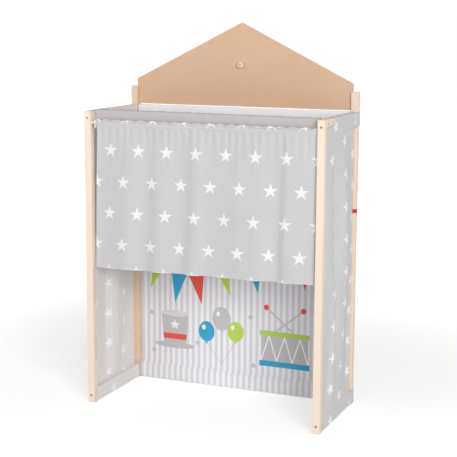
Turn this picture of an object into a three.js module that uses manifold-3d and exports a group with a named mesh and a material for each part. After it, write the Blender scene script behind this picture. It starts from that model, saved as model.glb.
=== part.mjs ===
// Puppet theater stand: a screwed pine frame with cloth side covers and a cloth backdrop on its rails,
// a gathered curtain on a rod, and a gable board that drops into grooves in the tall rear posts.
// Millimetres, +Z up. The origin is on the floor at the centre of the footprint, and the front faces -Y.
import * as THREE from "three";
import { mergeVertices } from "three/addons/utils/BufferGeometryUtils.js";
import Module from "manifold-3d";

const wasm = await Module();
wasm.setup();

// Frame
const frameWidth = 836;
const frameDepth = 366;
const postSide = 24;
const postEdgeRadius = 1.6;
const frontPostHeight = 1000;
const rearPostRise = 66;
const railHeight = 45;
const railThickness = 22;
const railEdgeRadius = 1.6;
const railFloorGap = 3;

// Fits
const fitGap = 0.3;
const clothEndGap = 0.8;
const cutOverrun = 5;
const weldDistance = 0.001;

// Screws
const screwLength = 60;
const screwShankRadius = 2;
const screwHeadRadius = 3.8;
const screwHeadDepth = 2.4;
const screwSocketRadius = 1.5;
const screwSocketDepth = 1.6;
const screwTipLength = 6;
const screwSink = 0.2;
const crossScrewRaise = 8.5;

// Gable board
const gableThickness = 4;
const gableShoulderHeight = 88;
const gablePeakHeight = 285;
const gableFootRise = 4.5;
const gablePeakRadius = 3;
const grooveDepth = 4;

// Gable knob
const knobHeight = 142;
const knobRadius = 10.5;
const knobFootRadius = 6.5;
const knobNeckRadius = 5.2;
const knobLength = 17;
const knobNeckLength = 6;
const knobSinkRadius = 4.2;
const knobSinkDepth = 3;
const knobScrewRadius = 1.9;
const knobScrewHeadRadius = 3.4;
const knobScrewHeadDepth = 2.2;
const nutAcrossCorners = 8.1;
const nutThickness = 3.2;

// Cloth
const clothThickness = 1.2;
const sleeveCornerRadius = 3;
const coverOpeningDrop = 27;
const coverOpeningRise = 6;
const coverOpeningReach = 80;
const coverOpeningLean = 17;
const coverNotchMargin = 1;
const coverJoggle = 8;
const coverEdgeDraw = 9;
const rightCoverOutwardBelly = 5;
const leftCoverInwardBelly = 9;
const coverFoldDepth = 2;
const backFoldDepth = 3;
const frontSleeveTail = 8;
const frontSleeveEndGap = 1.5;

// Curtain and its rod
const rodRadius = 4;
const rodSocketDepth = 8;
const rodDrop = 38;
const headerHeight = 11;
const curtainDrop = 484;
const curtainLeftGap = 18;
const curtainRightGap = 3;
const curtainHemHeight = 18;
const curtainFoldDepth = 7;
const headerRuffleDepth = 2.2;
const headerScallop = 1.6;

// Side tab
const tabHeight = 12;
const tabCentre = 671;
const tabThickness = 1;
const tabSewnLength = 10;
const tabFlagLength = 19;

// Counts and phases of the folds and of the round stretches
const roundSegments = 1;
const screwSegments = 12;
const knobSegments = 20;
const knobCurveSegments = 4;
const rodSegments = 20;
const channelSegments = 8;
const coverSteps = 12;
const coverRows = 9;
const backSteps = 18;
const backRows = 8;
const curtainSteps = 38;
const curtainRows = 3;
const nutSides = 6;
const curtainTurnShares = [0.02, 0.16, 0.245, 0.31, 0.41, 0.475, 0.535, 0.74, 0.84, 0.885, 1.03];
const curtainFoldGrowth = 0.35;
const headerRuffleCount = 12;
const coverFoldCount = 1.5;
const coverDrawStart = 0.25;
const coverDrawLean = 2;
const backFoldCount = 3.5;

const rearPostHeight = frontPostHeight + rearPostRise;
const halfWidth = frameWidth / 2;
const halfDepth = frameDepth / 2;
const sidePlane = halfWidth - postSide / 2;
const frontPlane = -halfDepth + postSide / 2;
const rearPlane = halfDepth - postSide / 2;
const postBackFace = -halfDepth + postSide;
const rearPostFrontFace = halfDepth - postSide;
const sleeveInner = railThickness / 2 + fitGap;
const sleeveOuter = sleeveInner + clothThickness;
// A side cover's sheet leaves its sleeves where their outer corners end
const coverSheetPlane = sleeveOuter - sleeveCornerRadius - clothThickness / 2;
const topRailCentre = frontPostHeight - railHeight / 2;
const bottomRailCentre = railFloorGap + railHeight / 2;
const coverTop = topRailCentre + railHeight / 2 + fitGap + clothThickness;
const frontRailPlane = postBackFace + fitGap + sleeveOuter;
const levels = { top: topRailCentre, bottom: bottomRailCentre };
const gableFoot = frontPostHeight + gableFootRise;
const rodHeight = frontPostHeight - rodDrop;
const curtainTop = rodHeight + headerHeight;
const curtainHem = rodHeight - curtainDrop;
const curtainWidth = 2 * (halfWidth - postSide) - curtainLeftGap - curtainRightGap;
const sides = { left: -1, right: 1 };
// The flats of the faceted channel clear the rod
const channelRadius = (rodRadius + fitGap) / Math.cos(Math.PI / channelSegments);

// Finishes
function finish(color, roughness, metalness = 0) {
  return new THREE.MeshStandardMaterial({ color, roughness, metalness });
}
const pine = () => finish(0xf3dfc5, 0.6);
const fibreboard = () => finish(0xd2a883, 0.85);
const greyCloth = () => finish(0xcac9ca, 0.92);
const whiteCloth = () => finish(0xeeeef2, 0.92);
const redCloth = () => finish(0xb93a36, 0.9);
const steel = () => finish(0x8d8579, 0.4, 0.9);

// Axes that a section is swept along: the section's own x and y, then the way it is swept
const alongX = new THREE.Matrix4().makeBasis(
  new THREE.Vector3(0, 1, 0),
  new THREE.Vector3(0, 0, 1),
  new THREE.Vector3(1, 0, 0),
);
const alongY = new THREE.Matrix4().makeBasis(
  new THREE.Vector3(-1, 0, 0),
  new THREE.Vector3(0, 0, 1),
  new THREE.Vector3(0, 1, 0),
);
const alongZ = new THREE.Matrix4();

function solidOf(geometry) {
  const bare = geometry.index ? geometry.toNonIndexed() : geometry.clone();
  bare.deleteAttribute("normal");
  bare.deleteAttribute("uv");
  const merged = mergeVertices(bare, weldDistance);
  return new wasm.Manifold(
    new wasm.Mesh({
      numProp: 3,
      vertProperties: merged.attributes.position.array,
      triVerts: new Uint32Array(merged.index.array),
    }),
  );
}

function geometryOf(solid) {
  const mesh = solid.getMesh();
  const geometry = new THREE.BufferGeometry();
  geometry.setAttribute("position", new THREE.BufferAttribute(mesh.vertProperties, 3));
  geometry.setIndex(new THREE.BufferAttribute(mesh.triVerts, 1));
  geometry.computeVertexNormals();
  return geometry;
}

function cutFrom(geometry, cutters) {
  return geometryOf(cutters.reduce((solid, cutter) => solid.subtract(solidOf(cutter)), solidOf(geometry)));
}

function joined(geometries) {
  return geometryOf(geometries.map(solidOf).reduce((whole, piece) => whole.add(piece)));
}

function piece(name, geometry, material, position = new THREE.Vector3()) {
  const mesh = new THREE.Mesh(geometry, material);
  mesh.name = name;
  mesh.position.copy(position);
  return mesh;
}

// A section swept over a length that is centred on zero
function sweep(shape, length, axes, steps = 1, curveSegments = roundSegments) {
  const geometry = new THREE.ExtrudeGeometry(shape, {
    depth: length,
    steps,
    curveSegments,
    bevelEnabled: false,
  });
  return geometry.translate(0, 0, -length / 2).applyMatrix4(axes);
}

function roundedOutline(path, left, right, low, high, radius) {
  path.moveTo(left + radius, low);
  path.lineTo(right - radius, low);
  path.absarc(right - radius, low + radius, radius, -Math.PI / 2, 0);
  path.lineTo(right, high - radius);
  path.absarc(right - radius, high - radius, radius, 0, Math.PI / 2);
  path.lineTo(left + radius, high);
  path.absarc(left + radius, high - radius, radius, Math.PI / 2, Math.PI);
  path.lineTo(left, low + radius);
  path.absarc(left + radius, low + radius, radius, Math.PI, Math.PI * 1.5);
  return path;
}

function rectangle(width, height, radius) {
  return roundedOutline(new THREE.Shape(), -width / 2, width / 2, -height / 2, height / 2, radius);
}

function block(low, high) {
  const size = high.clone().sub(low);
  const middle = low.clone().add(high).multiplyScalar(0.5);
  return new THREE.BoxGeometry(size.x, size.y, size.z).translate(middle.x, middle.y, middle.z);
}

// Screws
// Each is turned about its own axis, with the head's face at the origin and the tip away from it
function turned(outline) {
  const points = outline.map(([radius, height]) => new THREE.Vector2(radius, height));
  return new THREE.LatheGeometry(points, screwSegments);
}

// A countersunk screw with a round socket in its head
function screwGeometry({ shank, head, headDepth, length, tip }) {
  return turned([
    [0, screwSocketDepth],
    [screwSocketRadius, screwSocketDepth],
    [screwSocketRadius, 0],
    [head, 0],
    [shank, headDepth],
    [shank, length - tip],
    [0, length],
  ]);
}

function woodScrew() {
  const screw = screwGeometry({
    shank: screwShankRadius,
    head: screwHeadRadius,
    headDepth: screwHeadDepth,
    length: screwLength,
    tip: screwTipLength,
  });
  return screw.rotateX(Math.PI / 2);
}

// The hole that clears a wood screw, run out past the screw's head
function woodScrewHole() {
  const hole = turned([
    [0, -cutOverrun],
    [screwHeadRadius + fitGap, -cutOverrun],
    [screwHeadRadius + fitGap, 0],
    [screwShankRadius + fitGap, screwHeadDepth + fitGap],
    [screwShankRadius + fitGap, screwLength - screwTipLength],
    [0, screwLength + fitGap],
  ]);
  return hole.rotateX(Math.PI / 2);
}

// Every screw joint of the frame: where the head's face lies and which way the screw points
function frameJoints() {
  const joints = [];
  const add = (name, x, y, z, direction) =>
    joints.push({ name, at: new THREE.Vector3(x, y, z), direction: new THREE.Vector3(...direction) });
  for (const [side, sign] of Object.entries(sides)) {
    for (const [level, height] of Object.entries(levels)) {
      const rail = `${side}_${level}_rail`;
      add(`${rail}_front_screw`, sign * sidePlane, -halfDepth + screwSink, height, [0, 1, 0]);
      add(`${rail}_rear_screw`, sign * sidePlane, halfDepth - screwSink, height, [0, -1, 0]);
      const raised = height + crossScrewRaise;
      const outer = sign * (halfWidth - screwSink);
      add(`rear_${level}_rail_${side}_screw`, outer, rearPlane, raised, [-sign, 0, 0]);
    }
    const railFace = sign * (sidePlane + railThickness / 2 - screwSink);
    const raised = topRailCentre + crossScrewRaise;
    add(`front_top_rail_${side}_screw`, railFace, frontRailPlane, raised, [-sign, 0, 0]);
  }
  return joints;
}

function turnedTo(direction) {
  return new THREE.Quaternion().setFromUnitVectors(new THREE.Vector3(0, 0, 1), direction);
}

const joints = frameJoints();

function screws() {
  return joints.map(({ name, at, direction }) => {
    const screw = piece(name, woodScrew(), steel(), at);
    screw.quaternion.copy(turnedTo(direction));
    return screw;
  });
}

// The clearance holes of all screws that reach a timber, in the timber's own place
function screwHoles(geometry, centre) {
  geometry.computeBoundingBox();
  const reach = geometry.boundingBox.clone().translate(centre).expandByScalar(fitGap);
  return joints
    .map(({ at, direction }) =>
      woodScrewHole().applyQuaternion(turnedTo(direction)).translate(at.x, at.y, at.z),
    )
    .filter((hole) => {
      hole.computeBoundingBox();
      return hole.boundingBox.intersectsBox(reach);
    })
    .map((hole) => hole.translate(-centre.x, -centre.y, -centre.z));
}

// Timbers
function timber(name, section, length, axes, centre, cutters = []) {
  const geometry = sweep(section, length, axes);
  const local = cutters.map((cutter) => cutter.translate(-centre.x, -centre.y, -centre.z));
  return piece(name, cutFrom(geometry, [...screwHoles(geometry, centre), ...local]), pine(), centre);
}

function rodSocket(sign) {
  const length = rodSocketDepth + cutOverrun;
  const bore = new THREE.CylinderGeometry(
    rodRadius + fitGap,
    rodRadius + fitGap,
    length,
    rodSegments,
  ).rotateZ(Math.PI / 2);
  const middle = halfWidth - postSide + rodSocketDepth - length / 2;
  return bore.translate(sign * middle, frontPlane, rodHeight);
}

function gableGroove(sign) {
  const open = halfWidth - postSide - cutOverrun;
  const closed = halfWidth - postSide + grooveDepth;
  const halfSlot = gableThickness / 2 + fitGap;
  const [low, high] = sign > 0 ? [open, closed] : [-closed, -open];
  return block(
    new THREE.Vector3(low, rearPlane - halfSlot, gableFoot),
    new THREE.Vector3(high, rearPlane + halfSlot, rearPostHeight + cutOverrun),
  );
}

function posts() {
  const section = () => rectangle(postSide, postSide, postEdgeRadius);
  return Object.entries(sides).flatMap(([side, sign]) => {
    const front = new THREE.Vector3(sign * sidePlane, frontPlane, frontPostHeight / 2);
    const rear = new THREE.Vector3(sign * sidePlane, rearPlane, rearPostHeight / 2);
    return [
      timber(`front_${side}_post`, section(), frontPostHeight, alongZ, front, [rodSocket(sign)]),
      timber(`rear_${side}_post`, section(), rearPostHeight, alongZ, rear, [gableGroove(sign)]),
    ];
  });
}

function sideRails() {
  const section = () => rectangle(railThickness, railHeight, railEdgeRadius);
  const length = frameDepth - 2 * (postSide + fitGap);
  return Object.entries(sides).flatMap(([side, sign]) =>
    Object.entries(levels).map(([level, height]) => {
      const centre = new THREE.Vector3(sign * sidePlane, 0, height);
      return timber(`${side}_${level}_rail`, section(), length, alongY, centre);
    }),
  );
}

function crossRails() {
  const section = () => rectangle(railThickness, railHeight, railEdgeRadius);
  const rearLength = frameWidth - 2 * (postSide + fitGap);
  const frontLength = 2 * (sidePlane - railThickness / 2 - fitGap);
  const frontCentre = new THREE.Vector3(0, frontRailPlane, topRailCentre);
  const rear = Object.entries(levels).map(([level, height]) => {
    const centre = new THREE.Vector3(0, rearPlane, height);
    return timber(`rear_${level}_rail`, section(), rearLength, alongX, centre);
  });
  return [timber("front_top_rail", section(), frontLength, alongX, frontCentre), ...rear];
}

function curtainRod() {
  const length = 2 * (halfWidth - postSide + rodSocketDepth - fitGap);
  const rod = new THREE.CylinderGeometry(rodRadius, rodRadius, length, rodSegments);
  return piece(
    "curtain_rod",
    rod.rotateZ(Math.PI / 2),
    pine(),
    new THREE.Vector3(0, frontPlane, rodHeight),
  );
}

// Gable
function gableOutline() {
  const half = halfWidth - postSide + grooveDepth - fitGap;
  const shape = new THREE.Shape();
  shape.moveTo(-half, 0);
  shape.lineTo(half, 0);
  shape.lineTo(half, gableShoulderHeight);
  const slope = (gablePeakHeight - gableShoulderHeight) / half;
  shape.lineTo(gablePeakRadius, gablePeakHeight - gablePeakRadius * slope);
  shape.quadraticCurveTo(0, gablePeakHeight, -gablePeakRadius, gablePeakHeight - gablePeakRadius * slope);
  shape.lineTo(-half, gableShoulderHeight);
  return shape;
}

function screwBore(radius, length) {
  return new THREE.CylinderGeometry(radius, radius, length, screwSegments);
}

function gableBoard() {
  const board = sweep(gableOutline(), gableThickness, alongY);
  const bore = screwBore(knobScrewRadius + fitGap, gableThickness + cutOverrun);
  const place = new THREE.Vector3(0, rearPlane, gableFoot + fitGap);
  return piece("gable_board", cutFrom(board, [bore.translate(0, 0, knobHeight)]), fibreboard(), place);
}

// A turned knob on the axis from its foot, towards +Y of the lathe, with a sunk seat for its screw
function knobOutline() {
  const outline = new THREE.Path();
  const bore = knobScrewRadius + fitGap;
  const headStart = knobNeckLength;
  const crown = knobLength;
  outline.moveTo(bore, 0);
  outline.lineTo(knobFootRadius, 0);
  outline.quadraticCurveTo(knobNeckRadius, headStart / 2, knobFootRadius, headStart);
  outline.quadraticCurveTo(knobRadius, headStart, knobRadius, (headStart + crown) / 2);
  outline.quadraticCurveTo(knobRadius, crown, knobSinkRadius, crown);
  outline.lineTo(knobSinkRadius, crown - knobSinkDepth);
  outline.lineTo(bore, crown - knobSinkDepth - knobScrewHeadDepth);
  outline.lineTo(bore, 0);
  return outline.getPoints(knobCurveSegments);
}

function gableKnob() {
  const knob = new THREE.LatheGeometry(knobOutline(), knobSegments);
  const place = new THREE.Vector3(
    0,
    rearPlane - gableThickness / 2 - fitGap,
    gableFoot + fitGap + knobHeight,
  );
  return piece("gable_knob", knob.rotateX(Math.PI), pine(), place);
}

function knobScrew() {
  const screw = screwGeometry({
    shank: knobScrewRadius,
    head: knobScrewHeadRadius,
    headDepth: knobScrewHeadDepth,
    length: knobLength - knobSinkDepth + gableThickness + nutThickness + 2 * fitGap,
    tip: knobScrewRadius,
  });
  const face = rearPlane - gableThickness / 2 - knobLength + knobSinkDepth - fitGap;
  const place = new THREE.Vector3(0, face, gableFoot + fitGap + knobHeight);
  return piece("gable_knob_screw", screw, steel(), place);
}

function knobNut() {
  const nut = new THREE.CylinderGeometry(
    nutAcrossCorners / 2,
    nutAcrossCorners / 2,
    nutThickness,
    nutSides,
  );
  const bore = screwBore(knobScrewRadius + fitGap, nutThickness + cutOverrun);
  const place = new THREE.Vector3(
    0,
    rearPlane + gableThickness / 2 + fitGap + nutThickness / 2,
    gableFoot + fitGap + knobHeight,
  );
  return piece("gable_knob_nut", cutFrom(nut, [bore]), steel(), place);
}

// Cloth covers
// One side of a single sheet between two sleeves, as rows of points that the folds move
function sheetEdge(shape, offset, from, to, rows) {
  for (let row = 0; row <= rows; row += 1) {
    shape.lineTo(offset, from + ((to - from) * row) / rows);
  }
}

// A cloth section with a sleeve round the top rail, a sleeve round the bottom rail and one sheet between
function coverSection(rows, sheetPlane = 0) {
  const sheet = clothThickness / 2;
  const reach = railHeight / 2 + fitGap;
  const [topLow, topHigh] = [topRailCentre - reach, topRailCentre + reach];
  const [bottomLow, bottomHigh] = [bottomRailCentre - reach, bottomRailCentre + reach];
  const round = sleeveCornerRadius;
  const wall = clothThickness;
  const corner = (x, z, start) => shape.absarc(x, z, round, start, start + Math.PI / 2);
  const shape = new THREE.Shape();
  shape.moveTo(-sleeveOuter + round, bottomLow - wall);
  corner(sleeveOuter - round, bottomLow - wall + round, -Math.PI / 2);
  corner(sleeveOuter - round, bottomHigh + wall - round, 0);
  sheetEdge(shape, sheet - sheetPlane, bottomHigh + wall, topLow - wall, rows);
  corner(sleeveOuter - round, topLow - wall + round, -Math.PI / 2);
  corner(sleeveOuter - round, topHigh + wall - round, 0);
  corner(-sleeveOuter + round, topHigh + wall - round, Math.PI / 2);
  corner(-sleeveOuter + round, topLow - wall + round, Math.PI);
  sheetEdge(shape, -sheet - sheetPlane, topLow - wall, bottomHigh + wall, rows);
  corner(-sleeveOuter + round, bottomHigh + wall - round, Math.PI / 2);
  corner(-sleeveOuter + round, bottomLow - wall + round, Math.PI);
  for (const [low, high] of [[bottomLow, bottomHigh], [topLow, topHigh]]) {
    const hole = new THREE.Path();
    shape.holes.push(roundedOutline(hole, -sleeveInner, sleeveInner, low, high, railEdgeRadius));
  }
  return shape;
}

// How far between two ends a place is, held to 0 and 1 outside them
function shareOf(value, from, to) {
  return Math.min(1, Math.max(0, (value - from) / (to - from)));
}

function moveVertices(geometry, move) {
  const position = geometry.attributes.position;
  const point = new THREE.Vector3();
  for (let index = 0; index < position.count; index += 1) {
    point.fromBufferAttribute(position, index);
    move(point);
    position.setXYZ(index, point.x, point.y, point.z);
  }
  return geometry;
}

// Slack folds of a sheet that is held at both sleeves and both ends
function slack(along, alongEnd, height, depth, count) {
  const low = levels.bottom + railHeight;
  const high = levels.top - railHeight;
  const rise = Math.sin(Math.PI * shareOf(height, low, high));
  const run = shareOf(along, -alongEnd, alongEnd);
  const lean = Math.PI * shareOf(height, low, high);
  return depth * rise * Math.sin(Math.PI * run) * Math.sin(2 * Math.PI * count * run + lean);
}

// The band that carries a side cover's sleeve round the outside of a rear post, seen from above
function wrapBand(height) {
  const wall = clothThickness;
  const [near, far] = [fitGap, fitGap + wall];
  const start = rearPostFrontFace - coverJoggle;
  const end = rearPostFrontFace - clothEndGap;
  const inside = sidePlane + sleeveInner;
  const shape = new THREE.Shape();
  shape.moveTo(inside, start);
  shape.lineTo(halfWidth + far, start);
  shape.absarc(halfWidth, halfDepth, far, 0, Math.PI / 2);
  shape.lineTo(halfWidth - postSide, halfDepth + far);
  shape.lineTo(halfWidth - postSide, halfDepth + near);
  shape.lineTo(halfWidth + near, halfDepth + near);
  shape.lineTo(halfWidth + near, end);
  shape.lineTo(inside, end);
  return sweep(shape, railHeight + 2 * (fitGap + wall), alongZ).translate(0, 0, height);
}

// The opening at the front end of the right cover's top sleeve, which leaves the rail bare
function coverOpening() {
  const front = postBackFace + clothEndGap;
  const foot = coverTop - coverOpeningDrop;
  const corner = new THREE.Shape();
  corner.moveTo(front - cutOverrun, foot);
  corner.lineTo(front, foot);
  corner.lineTo(front + coverOpeningReach - coverOpeningLean, foot + coverOpeningRise);
  corner.lineTo(front + coverOpeningReach, coverTop);
  corner.lineTo(front + coverOpeningReach, coverTop + cutOverrun);
  corner.lineTo(front - cutOverrun, coverTop + cutOverrun);
  return sweep(corner, postSide + 2 * cutOverrun, alongX).translate(sidePlane, 0, 0);
}

// The notch in a top sleeve's inner side that lets the front rail in
function coverNotch() {
  const halfNotch = railThickness / 2 + coverNotchMargin;
  const notchFoot = topRailCentre - railHeight / 2 - coverNotchMargin;
  return block(
    new THREE.Vector3(sidePlane - sleeveOuter - cutOverrun, frontRailPlane - halfNotch, notchFoot),
    new THREE.Vector3(sidePlane - railThickness / 2, frontRailPlane + halfNotch, coverTop + cutOverrun),
  );
}

// How far in a side cover's sheet stands from its sleeves' outer side: its free rear edge draws in,
// and its middle bellies in, or out where the belly is negative
function coverInset(along, alongEnd, height, belly) {
  const rise = shareOf(height, levels.bottom + railHeight / 2, levels.top - railHeight / 2);
  const run = shareOf(along, -alongEnd, alongEnd);
  const free = Math.abs(Math.sin(Math.PI * rise));
  const drawn = coverEdgeDraw * free ** coverDrawStart * run ** coverDrawLean;
  const folded = slack(along, alongEnd, height, coverFoldDepth, coverFoldCount);
  return drawn + belly * free * Math.sin(Math.PI * run) - folded;
}

function mirroredAcrossX(geometry) {
  const mirrored = geometry.index ? geometry.toNonIndexed() : geometry.clone();
  mirrored.scale(-1, 1, 1);
  const { array } = mirrored.attributes.position;
  for (let start = 0; start < array.length; start += 9) {
    for (let axis = 0; axis < 3; axis += 1) {
      const held = array[start + 3 + axis];
      array[start + 3 + axis] = array[start + 6 + axis];
      array[start + 6 + axis] = held;
    }
  }
  return mirrored;
}

// A side cover on the right, with its belly's depth and what is cut out of it
function sideCover(belly, cuts) {
  const front = postBackFace + clothEndGap;
  const rear = rearPostFrontFace - clothEndGap;
  const tube = sweep(coverSection(coverRows, coverSheetPlane), rear - front, alongY, coverSteps);
  moveVertices(tube, (point) => {
    point.x -= coverInset(point.y, rear, point.z, belly);
  });
  tube.translate(sidePlane, (front + rear) / 2, 0);
  return cutFrom(joined([tube, wrapBand(topRailCentre), wrapBand(bottomRailCentre)]), cuts);
}

function sideCovers() {
  const open = sideCover(-rightCoverOutwardBelly, [coverNotch(), coverOpening()]);
  const closed = sideCover(leftCoverInwardBelly, [coverNotch()]);
  return [
    piece("right_side_cover", open, greyCloth()),
    piece("left_side_cover", mirroredAcrossX(closed), greyCloth()),
  ];
}

function backdrop() {
  const half = halfWidth - postSide - clothEndGap;
  const sheet = sweep(coverSection(backRows), 2 * half, alongX, backSteps);
  moveVertices(sheet, (point) => {
    point.y += slack(point.x, half, point.z, backFoldDepth, backFoldCount);
  });
  return piece("backdrop", sheet, whiteCloth(), new THREE.Vector3(0, rearPlane, 0));
}

// The plain sleeve round the front rail, with the seam allowance hanging below it
function frontRailSleeve() {
  const reach = railHeight / 2 + fitGap;
  const wall = clothThickness;
  const round = sleeveCornerRadius;
  const shape = new THREE.Shape();
  const corner = (y, z, start) => shape.absarc(y, z, round, start, start + Math.PI / 2);
  shape.moveTo(-wall / 2, -reach - wall - frontSleeveTail);
  shape.lineTo(wall / 2, -reach - wall - frontSleeveTail);
  shape.lineTo(wall / 2, -reach - wall);
  corner(sleeveOuter - round, -reach - wall + round, -Math.PI / 2);
  corner(sleeveOuter - round, reach + wall - round, 0);
  corner(-sleeveOuter + round, reach + wall - round, Math.PI / 2);
  corner(-sleeveOuter + round, -reach - wall + round, Math.PI);
  shape.lineTo(-wall / 2, -reach - wall);
  const hole = new THREE.Path();
  shape.holes.push(roundedOutline(hole, -sleeveInner, sleeveInner, -reach, reach, railEdgeRadius));
  const length = 2 * (halfWidth - postSide - frontSleeveEndGap);
  const place = new THREE.Vector3(0, frontRailPlane, topRailCentre);
  return piece("front_rail_sleeve", sweep(shape, length, alongX), greyCloth(), place);
}

// Curtain
// Its section: a ruffled header, the channel round the rod, the sheet and a doubled hem
function curtainSection() {
  const sheet = clothThickness / 2;
  const outer = channelRadius + clothThickness;
  const lean = Math.asin(sheet / outer);
  const neck = outer * Math.cos(lean);
  const hemTop = curtainHem + curtainHemHeight;
  const shape = new THREE.Shape();
  shape.moveTo(sheet, curtainTop);
  shape.lineTo(-sheet, curtainTop);
  shape.absarc(0, rodHeight, outer, Math.PI / 2 + lean, Math.PI * 1.5 - lean);
  sheetEdge(shape, -sheet, rodHeight - neck, hemTop, curtainRows);
  shape.lineTo(-clothThickness, hemTop);
  shape.lineTo(-clothThickness, curtainHem);
  shape.lineTo(clothThickness, curtainHem);
  shape.lineTo(clothThickness, hemTop);
  sheetEdge(shape, sheet, hemTop, rodHeight - neck, curtainRows);
  shape.absarc(0, rodHeight, outer, -Math.PI / 2 + lean, Math.PI / 2 - lean);
  const channel = new THREE.Path();
  channel.absarc(0, rodHeight, channelRadius, 0, Math.PI);
  channel.absarc(0, rodHeight, channelRadius, Math.PI, Math.PI * 2);
  shape.holes.push(channel);
  return shape;
}

// The main folds at a share of the width: 1 at each turn to the back and -1 at each turn to the front
function curtainWave(run) {
  const next = Math.max(1, curtainTurnShares.findIndex((share) => share > run));
  const turned = next - 1 + shareOf(run, curtainTurnShares[next - 1], curtainTurnShares[next]);
  return Math.cos(Math.PI * turned);
}

// The main folds deepen from the rod down to the hem; the header above the rod ruffles tighter
function curtainFold(point) {
  const run = shareOf(point.x, -curtainWidth / 2, curtainWidth / 2);
  const channelFoot = rodHeight - channelRadius - clothThickness;
  const channelHead = rodHeight + channelRadius + clothThickness;
  const fall = shareOf(point.z, channelFoot, curtainHem) ** curtainFoldGrowth;
  const rise = shareOf(point.z, channelHead, curtainTop);
  const ruffle = Math.sin(2 * Math.PI * headerRuffleCount * run);
  point.y += curtainFoldDepth * fall * curtainWave(run) + headerRuffleDepth * rise * ruffle;
  point.z += headerScallop * rise * Math.cos(4 * Math.PI * headerRuffleCount * run);
}

function curtain() {
  const section = curtainSection();
  const cloth = sweep(section, curtainWidth, alongX, curtainSteps, channelSegments / 4);
  moveVertices(cloth, curtainFold);
  const middle = halfWidth - postSide - curtainRightGap - curtainWidth / 2;
  return piece("curtain", cloth, greyCloth(), new THREE.Vector3(middle, frontPlane, 0));
}

// Where the outside of the right cover's sheet is beside the tab, on its last step before the rear edge
function coverOutsideBesideTab(along) {
  const rear = rearPostFrontFace - clothEndGap;
  const before = rear - (2 * rear) / coverSteps;
  const insetAt = (place) => coverInset(place, rear, tabCentre, -rightCoverOutwardBelly);
  const inset = THREE.MathUtils.lerp(insetAt(before), insetAt(rear), shareOf(along, before, rear));
  return sidePlane + coverSheetPlane + clothThickness / 2 - inset;
}

// A plain tab sewn to the right cover's rear edge and laid round the corner of the rear post
function sideTab() {
  const face = rearPostFrontFace - fitGap;
  const outer = halfWidth + fitGap;
  const sewn = coverOutsideBesideTab(face) + fitGap;
  const sewnStart = coverOutsideBesideTab(face - tabSewnLength) + fitGap;
  const shape = new THREE.Shape();
  shape.moveTo(sewnStart, face - tabSewnLength);
  shape.lineTo(sewnStart + tabThickness, face - tabSewnLength);
  shape.lineTo(sewn + tabThickness, face - tabThickness);
  shape.lineTo(outer + tabThickness, face - tabThickness);
  shape.lineTo(outer + tabThickness, face + tabFlagLength);
  shape.lineTo(outer, face + tabFlagLength);
  shape.lineTo(outer, face);
  shape.lineTo(sewn, face);
  const place = new THREE.Vector3(0, 0, tabCentre);
  return piece("side_tab", sweep(shape, tabHeight, alongZ), redCloth(), place);
}

function group(name, pieces) {
  const holder = new THREE.Group();
  holder.name = name;
  holder.add(...pieces);
  return holder;
}

const stand = new THREE.Group();
stand.add(
  group("frame", [...posts(), ...sideRails(), ...crossRails(), curtainRod(), ...screws()]),
  group("gable", [gableBoard(), gableKnob(), knobScrew(), knobNut()]),
  group("cloths", [...sideCovers(), backdrop(), frontRailSleeve(), curtain(), sideTab()]),
);

export default stand;
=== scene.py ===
"""The puppet theater stand in its finished looks: pine, fibreboard, printed cloth and steel.

Metres, +Z up, the origin on the floor at the centre of the footprint, the open front towards -Y.
"""

import bisect
import logging
import math
from dataclasses import dataclass
from enum import Enum
from typing import Callable, Optional, Sequence, Union

import bmesh
import bpy
from mathutils import Matrix, Vector, noise


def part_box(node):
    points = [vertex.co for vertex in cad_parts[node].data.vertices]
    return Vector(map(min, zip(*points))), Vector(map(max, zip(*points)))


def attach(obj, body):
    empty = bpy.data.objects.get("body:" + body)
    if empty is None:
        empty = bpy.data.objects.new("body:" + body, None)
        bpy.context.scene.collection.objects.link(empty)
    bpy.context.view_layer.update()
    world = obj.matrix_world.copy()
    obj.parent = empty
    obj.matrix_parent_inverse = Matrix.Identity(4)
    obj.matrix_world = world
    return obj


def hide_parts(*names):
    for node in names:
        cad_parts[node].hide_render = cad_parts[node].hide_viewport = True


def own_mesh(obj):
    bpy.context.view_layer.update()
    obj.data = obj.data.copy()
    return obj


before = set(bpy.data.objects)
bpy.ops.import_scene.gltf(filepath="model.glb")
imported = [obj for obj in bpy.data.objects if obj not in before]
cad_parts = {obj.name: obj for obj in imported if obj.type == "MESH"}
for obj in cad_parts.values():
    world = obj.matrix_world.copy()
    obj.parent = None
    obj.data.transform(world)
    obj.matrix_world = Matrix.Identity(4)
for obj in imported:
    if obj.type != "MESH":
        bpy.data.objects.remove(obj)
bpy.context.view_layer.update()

LOG = logging.getLogger("puppet_theater_stand")
FULL_TURN = 2 * math.pi
WHITE = (1.0, 1.0, 1.0, 1.0)
Rgb = tuple[float, float, float]
Point = tuple[float, float]
Value = Union[float, "Term"]


def linear(colour: Rgb) -> tuple[float, float, float, float]:
    """A display colour as the linear colour with an alpha of 1 that a shader takes."""
    channels = [c / 12.92 if c <= 0.04045 else ((c + 0.055) / 1.055) ** 2.4 for c in colour]
    return (channels[0], channels[1], channels[2], 1.0)


def clamp(value: float, low: float = 0.0, high: float = 1.0) -> float:
    """The value held between low and high."""
    return max(low, min(high, value))


def share_of(value: float, start: float, end: float) -> float:
    """How far from start to end a value is, held to 0 and 1 outside them."""
    return clamp((value - start) / (end - start))


def eased(share: float) -> float:
    """A share from 0 to 1 with a soft start and a soft end."""
    return share * share * (3.0 - 2.0 * share)


def steps(start: float, end: float, count: int) -> list[float]:
    """Evenly spaced values from start to end, both of them included."""
    return [start + (end - start) * index / count for index in range(count + 1)]


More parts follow.
